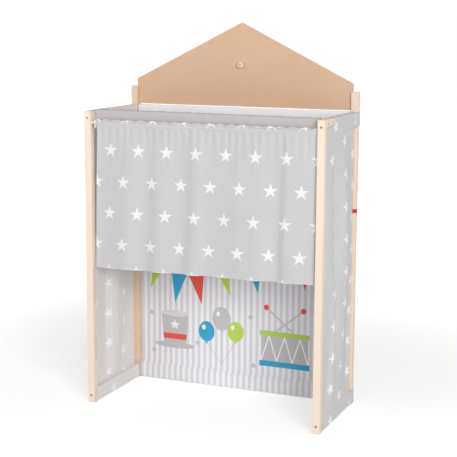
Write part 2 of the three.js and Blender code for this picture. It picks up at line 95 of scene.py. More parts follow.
def ripple(x: float, y: float, layer: float, scale: float) -> float:
    """Smooth noise from about -1 to 1 at a place of a layer, finer where the scale is larger."""
    return noise.noise(Vector((x * scale, y * scale, layer * scale)))


class Term:
    """One value in a node tree, which can be added to, multiplied and ramped like a number."""

    def __init__(self, bench: "Bench", socket: bpy.types.NodeSocket) -> None:
        """Wraps the socket that carries the value."""
        self.bench = bench
        self.socket = socket

    def __add__(self, other: Value) -> "Term":
        """The sum of both."""
        return self.bench.math("ADD", self, other)

    def __sub__(self, other: Value) -> "Term":
        """This value less another."""
        return self.bench.math("SUBTRACT", self, other)

    def __rsub__(self, other: float) -> "Term":
        """A number less this value."""
        return self.bench.math("SUBTRACT", other, self)

    def __mul__(self, other: Value) -> "Term":
        """The product of both."""
        return self.bench.math("MULTIPLY", self, other)

    def __truediv__(self, other: Value) -> "Term":
        """This value divided by another."""
        return self.bench.math("DIVIDE", self, other)

    def __abs__(self) -> "Term":
        """This value without its sign."""
        return self.bench.math("ABSOLUTE", self)

    def larger(self, other: Value) -> "Term":
        """The larger of both."""
        return self.bench.math("MAXIMUM", self, other)

    def root(self) -> "Term":
        """The square root."""
        return self.bench.math("SQRT", self)

    def sine(self) -> "Term":
        """The sine."""
        return self.bench.math("SINE", self)

    def wrapped(self, half: float) -> "Term":
        """The value brought between -half and half by whole steps of twice that."""
        return self.bench.math("WRAP", self, half, -half)

    def ramp(self, low: float, high: float) -> "Term":
        """A smooth step: 0 at low and 1 at high."""
        inputs = {"Value": self, "From Min": low, "From Max": high}
        return self.bench.made(
            "ShaderNodeMapRange", named=inputs, interpolation_type="SMOOTHSTEP", clamp=True
        )


class Bench:
    """A node tree of a material or world, with short calls for the nodes that the finishes share."""

    mix_colour_inputs = (6, 7)
    mix_colour_output = 2

    def __init__(self, owner: Union[bpy.types.Material, bpy.types.World]) -> None:
        """Empties the owner's node tree.

        Args:
            owner: The material or world that the tree belongs to.
        """
        owner.use_nodes = True
        self.owner = owner
        self.tree = owner.node_tree
        self.tree.nodes.clear()

    def feed(self, socket: bpy.types.NodeSocket, value: Union[Value, Sequence[float]]) -> None:
        """Links a value to an input, or sets the input's own value.

        Args:
            socket: The input.
            value: A value of the tree, which is linked, or a plain one, which is set.
        """
        if isinstance(value, Term):
            self.tree.links.new(value.socket, socket)
        else:
            socket.default_value = value

    def made(
        self,
        kind: str,
        *values: Union[Value, Sequence[float]],
        output: Union[int, str] = 0,
        named: Optional[dict[Union[int, str], Union[Value, Sequence[float]]]] = None,
        **settings: object,
    ) -> Term:
        """Adds a node.

        Args:
            kind: The node's type name.
            *values: What its first inputs get, in order.
            output: The output that is asked for.
            named: What other inputs get, by name or number.
            **settings: Properties of the node by name.

        Returns:
            The value of that output.
        """
        node = self.tree.nodes.new(kind)
        for name, value in settings.items():
            setattr(node, name, value)
        for name, value in {**dict(enumerate(values)), **(named or {})}.items():
            self.feed(node.inputs[name], value)
        return Term(self, node.outputs[output])

    def math(self, operation: str, *values: Value, clamped: bool = False) -> Term:
        """One Math node with its inputs in order, held from 0 to 1 where it is clamped."""
        return self.made("ShaderNodeMath", *values, operation=operation, use_clamp=clamped)

    def vector(
        self, operation: str, *values: Union[Term, Sequence[float]], output: Union[int, str] = 0
    ) -> Term:
        """One Vector Math node with its inputs in order."""
        return self.made("ShaderNodeVectorMath", *values, operation=operation, output=output)

    def place(self) -> Term:
        """The object's own coordinates."""
        return self.made("ShaderNodeTexCoord", output="Object")

    def seen(self) -> Term:
        """1 where the camera looks, straight or by way of a reflection, and 0 for the rest of the light."""
        path = self.tree.nodes.new("ShaderNodeLightPath")
        return Term(self, path.outputs["Is Camera Ray"]).larger(Term(self, path.outputs["Is Glossy Ray"]))

    def noise(
        self,
        vector: Term,
        scale: float,
        detail: float = 2.0,
        roughness: float = 0.5,
        stretch: Optional[Sequence[float]] = None,
    ) -> Term:
        """The height of a noise texture, about 0.5 in the middle.

        Args:
            vector: The place.
            scale: How fine the noise is.
            detail: How many finer layers lie on it.
            roughness: How strong the finer layers are.
            stretch: A factor for each axis of the place, small where the noise runs long.

        Returns:
            The height.
        """
        spot = vector if stretch is None else self.vector("MULTIPLY", vector, tuple(stretch))
        inputs = {"Vector": spot, "Scale": scale, "Detail": detail, "Roughness": roughness}
        return self.made("ShaderNodeTexNoise", named=inputs)

    def blend(self, share: Term, first: Union[Term, Rgb], second: Union[Term, Rgb]) -> Term:
        """A mix of two colours.

        Args:
            share: How much of the second colour there is.
            first: The first colour, as a value of the tree or a display colour.
            second: The second colour, given in the same way.

        Returns:
            The mixed colour.
        """
        pair = [colour if isinstance(colour, Term) else linear(colour) for colour in (first, second)]
        inputs = dict(zip(self.mix_colour_inputs, pair))
        settings = {"output": self.mix_colour_output, "data_type": "RGBA", "blend_type": "MIX"}
        return self.made("ShaderNodeMix", share, named=inputs, **settings)

    def shaded(self, colour: Term, factor: Term) -> Term:
        """A colour made lighter or darker by a factor."""
        return self.vector("MULTIPLY", colour, self.made("ShaderNodeCombineXYZ", factor, factor, factor))

    def bump(self, height: Term, distance: float, strength: float) -> Term:
        """A bump normal from a height from 0 to 1 over a distance in metres."""
        inputs = {"Strength": strength, "Distance": distance, "Height": height}
        return self.made("ShaderNodeBump", named=inputs)

    def split(self, vector: Term) -> tuple[Term, Term, Term]:
        """The three parts of a vector."""
        parts = self.made("ShaderNodeSeparateXYZ", vector).socket.node.outputs
        return Term(self, parts[0]), Term(self, parts[1]), Term(self, parts[2])

    def close(self, kind: str, shader: Term) -> None:
        """Ends the tree with an output node of that kind."""
        output = self.tree.nodes.new(kind)
        self.feed(output.inputs["Surface"], shader)

    def finish(
        self, colour: Term, roughness: Value, normal: Term, metallic: float = 0.0, sheen: float = 0.0
    ) -> bpy.types.Material:
        """Closes the material with one Principled shader.

        Args:
            colour: The base colour.
            roughness: The roughness.
            normal: The bumped normal.
            metallic: 1 for bare metal.
            sheen: The weight of the sheen of cloth.

        Returns:
            The finished material.
        """
        inputs = {"Base Color": colour, "Roughness": roughness, "Metallic": metallic, "Normal": normal}
        if sheen:
            inputs.update({"Sheen Weight": sheen, "Sheen Roughness": 0.6})
        self.close("ShaderNodeOutputMaterial", self.made("ShaderNodeBsdfPrincipled", named=inputs))
        return self.owner


def new_bench(name: str) -> Bench:
    """An empty material of that name, ready for its nodes."""
    return Bench(bpy.data.materials.new(name))


class Grain(Enum):
    """The axis that a timber's grain runs along, as the turn that brings it upright."""

    UPRIGHT = (0.0, 0.0, 0.0)
    ACROSS = (0.0, math.pi / 2, 0.0)
    DEEP = (math.pi / 2, 0.0, 0.0)


@dataclass(frozen=True)
class PineFinish:
    """Planed pine under a clear matt lacquer, with growth rings round a pith beside each board."""

    pale: Rgb = (0.950, 0.890, 0.830)
    deep: Rgb = (0.900, 0.790, 0.685)
    ring_pitch: float = 0.0042
    ring_wander: float = 0.022
    ring_strength: float = 0.55
    fibre_scale: float = 950.0
    fibre_stretch: float = 0.018
    fibre_strength: float = 0.28
    cloud_strength: float = 0.3
    paleness: float = 0.22
    roughness: float = 0.5
    roughness_spread: float = 0.18
    relief: float = 0.00012

    def material(
        self, name: str, grain: Grain, pith: Sequence[float], tone: float = 0.0
    ) -> bpy.types.Material:
        """Builds the material of one timber.

        Args:
            name: The material's name.
            grain: The axis of the grain.
            pith: The place of the pith line, in the object's own coordinates.
            tone: How far the whole board leans to the deep colour.

        Returns:
            The material.
        """
        bench = new_bench(name)
        inputs = {"Vector": bench.vector("SUBTRACT", bench.place(), tuple(pith)), "Rotation": grain.value}
        along = bench.made("ShaderNodeMapping", named=inputs, vector_type="POINT")
        x, y, _ = bench.split(along)
        wander = bench.noise(along, 9.0, 3.0, stretch=(1.0, 1.0, 0.22))
        radius = wander * self.ring_wander + (x * x + y * y).root()
        ring = bench.math("FRACT", radius / self.ring_pitch)
        late = ring.ramp(0.25, 0.9) * (1.0 - ring).ramp(0.0, 0.08)
        fibre = bench.noise(along, self.fibre_scale, 3.0, 0.6, (1.0, 1.0, self.fibre_stretch))
        cloud = bench.noise(along, 28.0, stretch=(1.0, 1.0, 0.1))
        share = cloud * self.cloud_strength + fibre * self.fibre_strength + late * self.ring_strength
        share = bench.math("ADD", share, tone - self.paleness, clamped=True)
        colour = bench.blend(share, self.pale, self.deep)
        rough = fibre * self.roughness_spread + (self.roughness - self.roughness_spread / 2)
        return bench.finish(colour, rough, bench.bump(late * 0.4 + fibre, self.relief, 0.5))


@dataclass(frozen=True)
class FibreboardFinish:
    """Raw fibreboard: pressed brown fibres, with a coarser and darker sawn edge."""

    face: Rgb = (0.870, 0.728, 0.612)
    fleck: Rgb = (0.775, 0.612, 0.480)
    edge: Rgb = (0.690, 0.545, 0.425)
    speckle_scale: float = 620.0
    speckle_strength: float = 0.5
    strand_scale: float = 240.0
    strand_strength: float = 0.35
    cloud_strength: float = 0.35
    paleness: float = 0.16
    roughness: float = 0.78
    relief: float = 0.00018

    def material(self, name: str) -> bpy.types.Material:
        """Builds the material.

        Args:
            name: The material's name.

        Returns:
            The material.
        """
        bench = new_bench(name)
        place = bench.place()
        speckle = bench.noise(place, self.speckle_scale, 5.0, 0.7, (1.0, 1.0, 0.55))
        cloud = bench.noise(place, 9.0, 4.0, 0.6)
        strand = bench.noise(place, self.strand_scale, 3.0, 0.65, (0.25, 1.0, 1.0))
        share = speckle.ramp(0.42, 0.75) * self.speckle_strength + cloud * self.cloud_strength
        share = strand.ramp(0.5, 0.8) * self.strand_strength + share
        share = bench.math("SUBTRACT", share, self.paleness, clamped=True)
        _, towards, _ = bench.split(bench.made("ShaderNodeNewGeometry", output="Normal"))
        sawn = abs(towards).ramp(0.9, 0.5)
        face = bench.blend(share, self.face, self.fleck)
        colour = bench.blend(sawn, face, bench.blend(share, self.edge, self.fleck))
        return bench.finish(colour, self.roughness, bench.bump(speckle + strand * 0.5, self.relief, 0.5))


@dataclass(frozen=True)
class SteelFinish:
    """Zinc-plated steel with a faint cloudiness."""

    bright: Rgb = (0.58, 0.54, 0.50)
    dull: Rgb = (0.42, 0.38, 0.34)
    cloud_scale: float = 700.0
    roughness: float = 0.26
    roughness_spread: float = 0.22
    relief: float = 0.00004

    def material(self, name: str) -> bpy.types.Material:
        """Builds the material.

        Args:
            name: The material's name.

        Returns:
            The material.
        """
        bench = new_bench(name)
        cloud = bench.noise(bench.place(), self.cloud_scale, 4.0, 0.6)
        colour = bench.blend(cloud.ramp(0.35, 0.7), self.bright, self.dull)
        rough = cloud * self.roughness_spread + self.roughness
        return bench.finish(colour, rough, bench.bump(cloud, self.relief, 0.4), metallic=1.0)


def star_mask(x: Term, y: Term, radius: float, waist: float, soft: float) -> Term:
    """The mask of a five-pointed star at the origin, with a point up.

    Args:
        x: The place across.
        y: The place up.
        radius: From the middle to a tip.
        waist: The radius of the notches between the points, as a share of the radius.
        soft: The width of the edge.

    Returns:
        1 inside the star and 0 outside it.
    """
    bench = x.bench
    half_point = math.pi / 5
    folded = abs(bench.math("ARCTAN2", x, y).wrapped(half_point))
    distance = (x * x + y * y).root()
    out = distance * bench.math("COSINE", folded) - radius
    side = distance * folded.sine()
    notch = Vector((math.cos(half_point), math.sin(half_point))) * (waist * radius)
    edge = (notch - Vector((radius, 0.0))).normalized()
    return (out * edge.y + side * -edge.x).ramp(soft / 2, -soft / 2)


@dataclass(frozen=True)
class StarPrint:
    """Rows of five-pointed stars, each row half a step beside the last."""

    first_star: Point
    pitch_along_row: float
    row_pitch: float
    turned: bool = False
    ink: Rgb = (0.985, 0.982, 0.988)
    radius: float = 0.0255
    waist_share: float = 0.37
    edge_softness: float = 0.0007

    def mask(self, across: Term, up: Term) -> Term:
        """The mask of the whole print.

        Args:
            across: The cloth's own place across, in metres.
            up: The cloth's own place up, in metres.

        Returns:
            1 on the stars and 0 between them.
        """
        x = across - self.first_star[0]
        y = up - self.first_star[1]
        if self.turned:
            x, y = y, x * -1.0
        wide, tall = self.pitch_along_row / 2, self.row_pitch
        found = []
        for rows_on in (0.0, 1.0):
            near_x = (x - rows_on * wide).wrapped(wide)
            near_y = (y - rows_on * tall).wrapped(tall)
            found.append(star_mask(near_x, near_y, self.radius, self.waist_share, self.edge_softness))
        return found[0].larger(found[1])


class Ink(Enum):
    """The inks of the backdrop's print."""

    GREY = (0.765, 0.760, 0.765)
    STRIPE = (0.855, 0.850, 0.868)
    RED = (0.910, 0.330, 0.300)
    BLUE = (0.200, 0.650, 0.810)
    LIME = (0.730, 0.845, 0.340)
    WHITE = (0.965, 0.962, 0.972)
    # The top sleeve's plain unprinted white, made lighter than the ground as painted light from above.
    UNPRINTED_WHITE_PAINTED_LIGHT = (0.992, 0.986, 0.996)


@dataclass(frozen=True)
class Pennant:
    """One flag of the bunting: its tip, how far its axis leans, and its ink."""

    tip: Point
    lean_degrees: float
    ink: Ink


class Drawing:
    """Simple printed shapes laid over a colour, in the cloth's own metres."""

    soft = 0.0008
    star_waist = 0.42

    def __init__(self, across: Term, up: Term, ground: Term) -> None:
        """Starts a drawing.

        Args:
            across: The cloth's own place across, in metres.
            up: The cloth's own place up, in metres.
            ground: The colour that it is printed on.
        """
        self.bench = across.bench
        self.across = across
        self.up = up
        self.colour = ground

    def lay(self, mask: Term, ink: Ink) -> None:
        """Prints one ink where the mask is 1."""
        self.colour = self.bench.blend(mask, self.colour, ink.value)

    def polygon(self, corners: Sequence[Union[Point, Vector]], ink: Ink) -> None:
        """Prints a convex polygon.

        Args:
            corners: Its corners, which run anticlockwise.
            ink: The ink.
        """
        found: Optional[Term] = None
        for start, end in zip(corners, [*corners[1:], corners[0]]):
            along = (Vector(end) - Vector(start)).normalized()
            offset = along.x * start[1] - along.y * start[0]
            distance = self.up * -along.x + (self.across * along.y + offset)
            found = distance if found is None else found.larger(distance)
        self.lay(found.ramp(self.soft / 2, -self.soft / 2), ink)

    def taper(self, x: float, foot: Point, head: Point, ink: Ink) -> None:
        """Prints a shape with level ends and the same slope at both sides.

        Args:
            x: The place across of its middle.
            foot: The height and the half width of its lower end.
            head: The height and the half width of its upper end.
            ink: The ink.
        """
        (low, foot_half), (high, head_half) = foot, head
        lower = [(x - foot_half, low), (x + foot_half, low)]
        self.polygon([*lower, (x + head_half, high), (x - head_half, high)], ink)

    def ellipse(self, centre: Point, radii: Point, ink: Ink) -> None:
        """Prints an ellipse.

        Args:
            centre: Its middle.
            radii: Its half width and half height.
            ink: The ink.
        """
        x = (self.across - centre[0]) / radii[0]
        y = (self.up - centre[1]) / radii[1]
        distance = (x * x + y * y - 1.0) * (min(radii) / 2)
        self.lay(distance.ramp(self.soft / 2, -self.soft / 2), ink)

    def line(self, start: Point, end: Point, width: float, ink: Ink) -> None:
        """Prints a straight line with square ends.

        Args:
            start: Where it starts.
            end: Where it ends.
            width: How wide it is.
            ink: The ink.
        """
        first, last = Vector(start), Vector(end)
        along = (last - first).normalized()
        side = Vector((-along.y, along.x)) * (width / 2)
        self.polygon([first - side, last - side, last + side, first + side], ink)

    def star(self, centre: Point, radius: float, ink: Ink) -> None:
        """Prints a star with a point up."""
        x, y = self.across - centre[0], self.up - centre[1]
        self.lay(star_mask(x, y, radius, self.star_waist, self.soft), ink)


@dataclass(frozen=True)
class ClothFinish:
    """Woven cotton with a print and rows of stitches across it, placed by the cloth's own metres."""

    ground: Rgb
    print_on: Optional[StarPrint] = None
    seams: tuple[float, ...] = ()
    thread_pitch: float = 0.00085
    # The weave's hollows are painted darker and its crests lighter: painted shade that follows the bump.
    weave_painted_shade: float = 0.03
    weave_height: float = 0.25
    slub_scale: float = 1300.0
    slub_stretch: float = 0.06
    slub_tone: float = 0.16
    slub_height: float = 0.5
    cloud_scale: float = 7.0
    cloud_tone: float = 0.05
    stitch_pitch: float = 0.0034
    stitch_width: float = 0.0009
    stitch_tone: float = -0.1
    stitch_height: float = 1.4
    relief: float = 0.00022
    roughness: float = 0.9
    sheen: float = 0.12

    def weave(self, across: Term, up: Term) -> Term:
        """The height of the crossing threads, about 0 in the middle."""
        turns = FULL_TURN / self.thread_pitch
        return (across * turns).sine() * (up * turns).sine()

    def stitches(self, across: Term, up: Term) -> Optional[Term]:
        """The mask of all rows of stitches.

        Args:
            across: The cloth's own place across, in metres.
            up: The cloth's own place up, in metres.

        Returns:
            1 on the stitches and 0 beside them, or None where the cloth has no seam.
        """
        found: Optional[Term] = None
        for seam in self.seams:
            row = abs(up - seam).ramp(self.stitch_width / 2, self.stitch_width / 4)
            dash = abs(across.wrapped(self.stitch_pitch / 2))
            made = row * dash.ramp(self.stitch_pitch * 0.38, self.stitch_pitch * 0.3)
            found = made if found is None else found.larger(made)
        return found

    def printed(self, across: Term, up: Term) -> Term:
        """The cloth's colour with its print, before the threads are shaded.

        Args:
            across: The cloth's own place across, in metres.
            up: The cloth's own place up, in metres.

        Returns:
            The colour.
        """
        ground = across.bench.made("ShaderNodeRGB")
        ground.socket.default_value = linear(self.ground)
        if self.print_on is None:
            return ground
        return across.bench.blend(self.print_on.mask(across, up), ground, self.print_on.ink)

    def material(self, name: str) -> bpy.types.Material:
        """Builds the material.

        Args:
            name: The material's name.

        Returns:
            The material.
        """
        bench = new_bench(name)
        flat = bench.made("ShaderNodeUVMap", uv_map=Sheet.UV)
        across, up, _ = bench.split(flat)
        colour = self.printed(across, up)
        weave = self.weave(across, up)
        slub_across = bench.noise(flat, self.slub_scale, stretch=(self.slub_stretch, 1.0, 1.0))
        slub = slub_across + bench.noise(flat, self.slub_scale, stretch=(1.0, self.slub_stretch, 1.0))
        cloud = bench.noise(flat, self.cloud_scale, 3.0)
        tone = (slub - 1.0) * self.slub_tone + 1.0
        # The weave adds painted shade in its hollows and a painted highlight on its crests.
        tone = (cloud - 0.5) * self.cloud_tone + (weave * self.weave_painted_shade + tone)
        height = weave * self.weave_height + slub * self.slub_height
        stitches = self.stitches(across, up)
        if stitches is not None:
            tone = stitches * self.stitch_tone + tone
            height = stitches * self.stitch_height + height
        normal = bench.bump(height, self.relief, 0.45)
        return bench.finish(bench.shaded(colour, tone), self.roughness, normal, sheen=self.sheen)


@dataclass(frozen=True)
class SceneClothFinish(ClothFinish):
    """The backdrop's cloth: light stripes, a line of bunting and a few circus things."""

    ground: Rgb = (0.955, 0.950, 0.966)
    seams: tuple[float, ...] = (0.9503, 0.0680)
    stripe_pitch: float = 0.0224
    stripe_edge: float = 0.0006
    bright_stripe: float = -0.350
    top_of_print: float = 0.938
    pennant_height: float = 0.128
    pennant_width: float = 0.068
    pennants: tuple[Pennant, ...] = (
        Pennant((-0.353, 0.336), 20, Ink.LIME),
        Pennant((-0.253, 0.289), 8, Ink.BLUE),
        Pennant((-0.150, 0.292), -11, Ink.RED),
        Pennant((-0.037, 0.332), -18, Ink.LIME),
        Pennant((0.066, 0.353), -8, Ink.BLUE),
        Pennant((0.155, 0.402), 8, Ink.LIME),
        Pennant((0.240, 0.380), 0, Ink.RED),
        Pennant((0.330, 0.395), -8, Ink.BLUE),
    )
    small_star: float = 0.0125
    small_stars: tuple[Point, ...] = (
        (-0.350, 0.245), (-0.165, 0.150), (0.040, 0.265), (0.305, 0.300),
        (0.310, 0.110), (-0.340, 0.105), (0.052, 0.090),
    )
    hat_foot: Point = (-0.255, 0.132)
    balloon_hand: Point = (-0.072, 0.078)
    drum_foot: Point = (0.168, 0.100)

    def stripes(self, across: Term) -> Term:
        """The mask of the grey stripes.

        Args:
            across: The cloth's own place across, in metres.

        Returns:
            1 on the grey stripes and 0 on the light ones.
        """
        half = self.stripe_pitch / 2
        beside = abs((across - self.bright_stripe).wrapped(half))
        return beside.ramp(half / 2 - self.stripe_edge, half / 2 + self.stripe_edge)

    def bunting(self, drawing: Drawing) -> None:
        """Prints the flags of the bunting and the cord that they hang from.

        Args:
            drawing: The backdrop's drawing.
        """
        tops = []
        for flag in self.pennants:
            lean = math.radians(flag.lean_degrees)
            lift = Vector((math.sin(lean), math.cos(lean)))
            side = Vector((lift.y, -lift.x)) * (self.pennant_width / 2)
            tip = Vector(flag.tip)
            top = tip + lift * self.pennant_height
            drawing.polygon([tip, top + side, top - side], flag.ink)
            tops.append((top - side, top + side))
        for (left, right), (following, _) in zip(tops, [*tops[1:], tops[-1]]):
            drawing.line(left, right, 0.0035, Ink.GREY)
            if following.x > right.x:
                drawing.line(right, following, 0.0026, Ink.GREY)

    def top_hat(self, drawing: Drawing) -> None:
        """Prints a tall hat with a band and a star.

        Args:
            drawing: The backdrop's drawing.
        """
        x, z = self.hat_foot
        drawing.taper(x, (z + 0.006, 0.044), (z + 0.118, 0.054), Ink.GREY)
        drawing.ellipse((x, z + 0.118), (0.054, 0.011), Ink.STRIPE)
        drawing.taper(x, (z + 0.022, 0.0455), (z + 0.043, 0.0475), Ink.RED)
        drawing.ellipse((x, z), (0.080, 0.012), Ink.GREY)
        drawing.star((x, z + 0.076), 0.021, Ink.WHITE)

    def balloons(self, drawing: Drawing) -> None:
        """Prints three balloons on their strings, each with its knot and a gleam.

        Args:
            drawing: The backdrop's drawing.
        """
        bunch = (
            ((-0.058, 0.118), (0.031, 0.037), Ink.BLUE),
            ((0.055, 0.128), (0.031, 0.037), Ink.LIME),
            ((0.0, 0.170), (0.036, 0.043), Ink.GREY),
        )
        for (across, up), (wide, tall), ink in bunch:
            x, z = self.balloon_hand[0] + across, self.balloon_hand[1] + up
            knot = z - tall
            drawing.line(self.balloon_hand, (x, knot), 0.0022, Ink.GREY)
            drawing.ellipse((x, z), (wide, tall), ink)
            drawing.polygon([(x - 0.006, knot - 0.007), (x + 0.006, knot - 0.007), (x, knot + 0.004)], ink)
            drawing.ellipse((x - wide * 0.36, z + tall * 0.38), (0.007, 0.009), Ink.WHITE)

    def drum(self, drawing: Drawing) -> None:
        """Prints a drum with hoops, cords and a pair of sticks.

        Args:
            drawing: The backdrop's drawing.
        """
        x, z = self.drum_foot
        half, tall, hoop = 0.088, 0.118, 0.014
        for sign in (-1, 1):
            end = (x + sign * 0.070, z + tall + 0.088)
            drawing.line((x - sign * 0.036, z + tall + 0.002), end, 0.0055, Ink.GREY)
            drawing.ellipse(end, (0.010, 0.010), Ink.RED)
        drawing.taper(x, (z, half), (z + tall, half), Ink.GREY)
        ends = (z + hoop, z + tall - hoop)
        places = steps(x - half, x + half, 6)
        for index, (left, right) in enumerate(zip(places, places[1:])):
            drawing.line((left, ends[index % 2]), (right, ends[1 - index % 2]), 0.0048, Ink.WHITE)
        wide = half + 0.006
        drawing.taper(x, (z - 0.006, wide), (z + hoop, wide), Ink.BLUE)
        drawing.taper(x, (z + tall - hoop, wide), (z + tall + 0.004, wide), Ink.LIME)

    def printed(self, across: Term, up: Term) -> Term:
        """The cloth's colour with its stripes and its print.

        Args:
            across: The cloth's own place across, in metres.
            up: The cloth's own place up, in metres.

        Returns:
            The colour.
        """
        ground = across.bench.blend(self.stripes(across), self.ground, Ink.STRIPE.value)
        drawing = Drawing(across, up, ground)
        self.bunting(drawing)
        self.top_hat(drawing)
        self.balloons(drawing)
        self.drum(drawing)
        for centre in self.small_stars:
            drawing.star(centre, self.small_star, Ink.GREY)
        # Above the print the sleeve is plain white, made lighter than the ground as painted light from above.
        drawing.lay(up.ramp(self.top_of_print, self.top_of_print + 0.001), Ink.UNPRINTED_WHITE_PAINTED_LIGHT)
        return drawing.colour


@dataclass(frozen=True)
class TapeFinish(ClothFinish):
    """A narrow woven tape with ribs across it."""

    ground: Rgb = (0.760, 0.205, 0.185)
    rib_pitch: float = 0.0011

    def weave(self, across: Term, up: Term) -> Term:
        """The height of the ribs, about 0 in the middle."""
        return (across * (FULL_TURN / self.rib_pitch)).sine()


class Course:
    """A course of cloth in section: straight runs between rounded turns, measured along its length."""

    def __init__(self, corners: Sequence[Point], turn_radius: float, turn_steps: int = 4) -> None:
        """Rounds the corners and measures the course.

        Args:
            corners: Where the runs would meet if they were sharp.
            turn_radius: How far from its corner a turn starts, where the runs are long enough.
            turn_steps: How many short runs make up a turn.
        """
        ends = [Vector(corner) for corner in corners]
        self.points = [ends[0]]
        for before, corner, after in zip(ends, ends[1:], ends[2:]):
            back, ahead = (before - corner), (after - corner)
            reach = min(turn_radius, back.length / 2, ahead.length / 2)
            start, end = corner + back.normalized() * reach, corner + ahead.normalized() * reach
            for index in range(turn_steps + 1):
                t = index / turn_steps
                self.points.append(start * (1 - t) ** 2 + corner * 2 * t * (1 - t) + end * t**2)
        self.points.append(ends[-1])
        self.lengths = [0.0]
        for first, second in zip(self.points, self.points[1:]):
            self.lengths.append(self.lengths[-1] + (second - first).length)
        self.length = self.lengths[-1]

    def at(self, distance: float) -> Vector:
        """The point at a distance along the course.

        Args:
            distance: The distance, held between 0 and the whole length.

        Returns:
            The point.
        """
        distance = clamp(distance, 0.0, self.length)
        for index in range(len(self.points) - 1):
            if distance <= self.lengths[index + 1]:
                span = self.lengths[index + 1] - self.lengths[index]
                share = (distance - self.lengths[index]) / span if span > 1e-9 else 0.0
                return self.points[index].lerp(self.points[index + 1], share)
        return self.points[-1].copy()

    def normal(self, distance: float) -> Vector:
        """The direction to the left of the course.

        Args:
            distance: How far along the course it is asked for.

        Returns:
            The direction, of length 1.
        """
        step = 0.0008
        ahead = self.at(distance + step) - self.at(distance - step)
        return Vector((-ahead.y, ahead.x)).normalized()

    def height_at_start(self) -> float:
        """The height that the start has where the course is laid out straight along its longest run.

        Returns:
            The height.
        """
        starts = range(len(self.points) - 1)
        _, index = max((self.lengths[start + 1] - self.lengths[start], start) for start in starts)
        return self.points[index].y + self.lengths[index]

    def rows(self, longest: float) -> list[float]:
        """Distances along the course at every point of it, with long runs divided.

        Args:
            longest: The longest run that stays whole.

        Returns:
            The distances, from 0 up.
        """
        found = [0.0]
        for start, end in zip(self.lengths, self.lengths[1:]):
            if end - start > 1e-7:
                found.extend(steps(start, end, max(1, math.ceil((end - start) / longest)))[1:])
        return found


class Sheet:
    """One sheet of cloth, made from a grid whose own metres become its UV map."""

    UV = "cloth"

    def __init__(self, name: str) -> None:
        """Starts an empty sheet.

        Args:
            name: The name that its object gets.
        """
        self.name = name
        self.mesh = bmesh.new()
        self.flat = self.mesh.loops.layers.uv.new(Sheet.UV)

    def panel(
        self,
        columns: Sequence[float],
        rows: Sequence[float],
        place: Callable[[float, float], Vector],
        upwards: Callable[[float], float] = lambda row: row,
    ) -> None:
        """Adds one panel of cloth.

        Args:
            columns: Places across the flat cloth.
            rows: Places along the flat cloth.
            place: Where a place of the flat cloth lies on the object.
            upwards: What the UV map calls a row.
        """
        wide, tall = len(columns) - 1, len(rows) - 1
        grid = bmesh.ops.create_grid(self.mesh, x_segments=wide, y_segments=tall, size=0.5)
        made = grid["verts"]
        spots = {}
        low = Vector([min(vertex.co[axis] for vertex in made) for axis in (0, 1)])
        high = Vector([max(vertex.co[axis] for vertex in made) for axis in (0, 1)])
        for vertex in made:
            column = round((vertex.co.x - low.x) / (high.x - low.x) * wide)
            row = round((vertex.co.y - low.y) / (high.y - low.y) * tall)
            spots[vertex] = (columns[column], rows[row])
            vertex.co = place(*spots[vertex])
        for face in {face for vertex in made for face in vertex.link_faces}:
            for loop in face.loops:
                across, along = spots[loop.vert]
                loop[self.flat].uv = (across, upwards(along))

    def open_where(self, inside: Callable[[Vector], bool]) -> None:
        """Takes out the faces whose middles are inside."""
        found = [face for face in self.mesh.faces if inside(face.calc_center_median())]
        bmesh.ops.delete(self.mesh, geom=found, context="FACES")

    def open_above(self, corners: Sequence[Point]) -> None:
        """Opens what lies above and in front of a bent line, seen from the side.

        Args:
            corners: The line's points from front to back, as depth and height.
        """
        planes = []
        for (depth, height), (next_depth, next_height) in zip(corners, corners[1:]):
            on = Vector((0.0, depth, height))
            upwards = Vector((0.0, height - next_height, next_depth - depth)).normalized()
            everything = [*self.mesh.verts, *self.mesh.edges, *self.mesh.faces]
            bmesh.ops.bisect_plane(self.mesh, geom=everything, plane_co=on, plane_no=upwards)
            planes.append((on, upwards))
        self.open_where(lambda spot: all((spot - on).dot(upwards) > 0.0 for on, upwards in planes))

    def finished(self, material: bpy.types.Material, thickness: float) -> bpy.types.Object:
        """Closes the sheet as an object with its thickness.

        Args:
            material: The cloth's material.
            thickness: The cloth's thickness.

        Returns:
            The object, at the origin.
        """
        bmesh.ops.recalc_face_normals(self.mesh, faces=self.mesh.faces)
        piece = object_of(self.name, self.mesh, material)
        wall = piece.modifiers.new("thickness", "SOLIDIFY")
        wall.thickness = thickness
        wall.offset = 0.0
        wall.use_even_offset = False
        return piece


def object_of(name: str, mesh: bmesh.types.BMesh, material: bpy.types.Material) -> bpy.types.Object:
    """Makes a smooth object at the origin.

    Args:
        name: The object's name.
        mesh: Its shape, already in place, which is freed.
        material: Its material.

    Returns:
        The new object.
    """
    data = bpy.data.meshes.new(name)
    mesh.to_mesh(data)
    mesh.free()
    for polygon in data.polygons:
        polygon.use_smooth = True
    data.materials.append(material)
    made = bpy.data.objects.new(name, data)
    bpy.context.scene.collection.objects.link(made)
    return made


def dress(node: str, material: bpy.types.Material) -> None:
    """Gives a CAD node its finish.

    Args:
        node: The node's name.
        material: Its finish.
    """
    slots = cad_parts[node].material_slots
    if not slots:
        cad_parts[node].data.materials.append(material)
    for slot in slots:
        slot.link = "OBJECT"
        slot.material = material
    LOG.info("dressed %s", node)


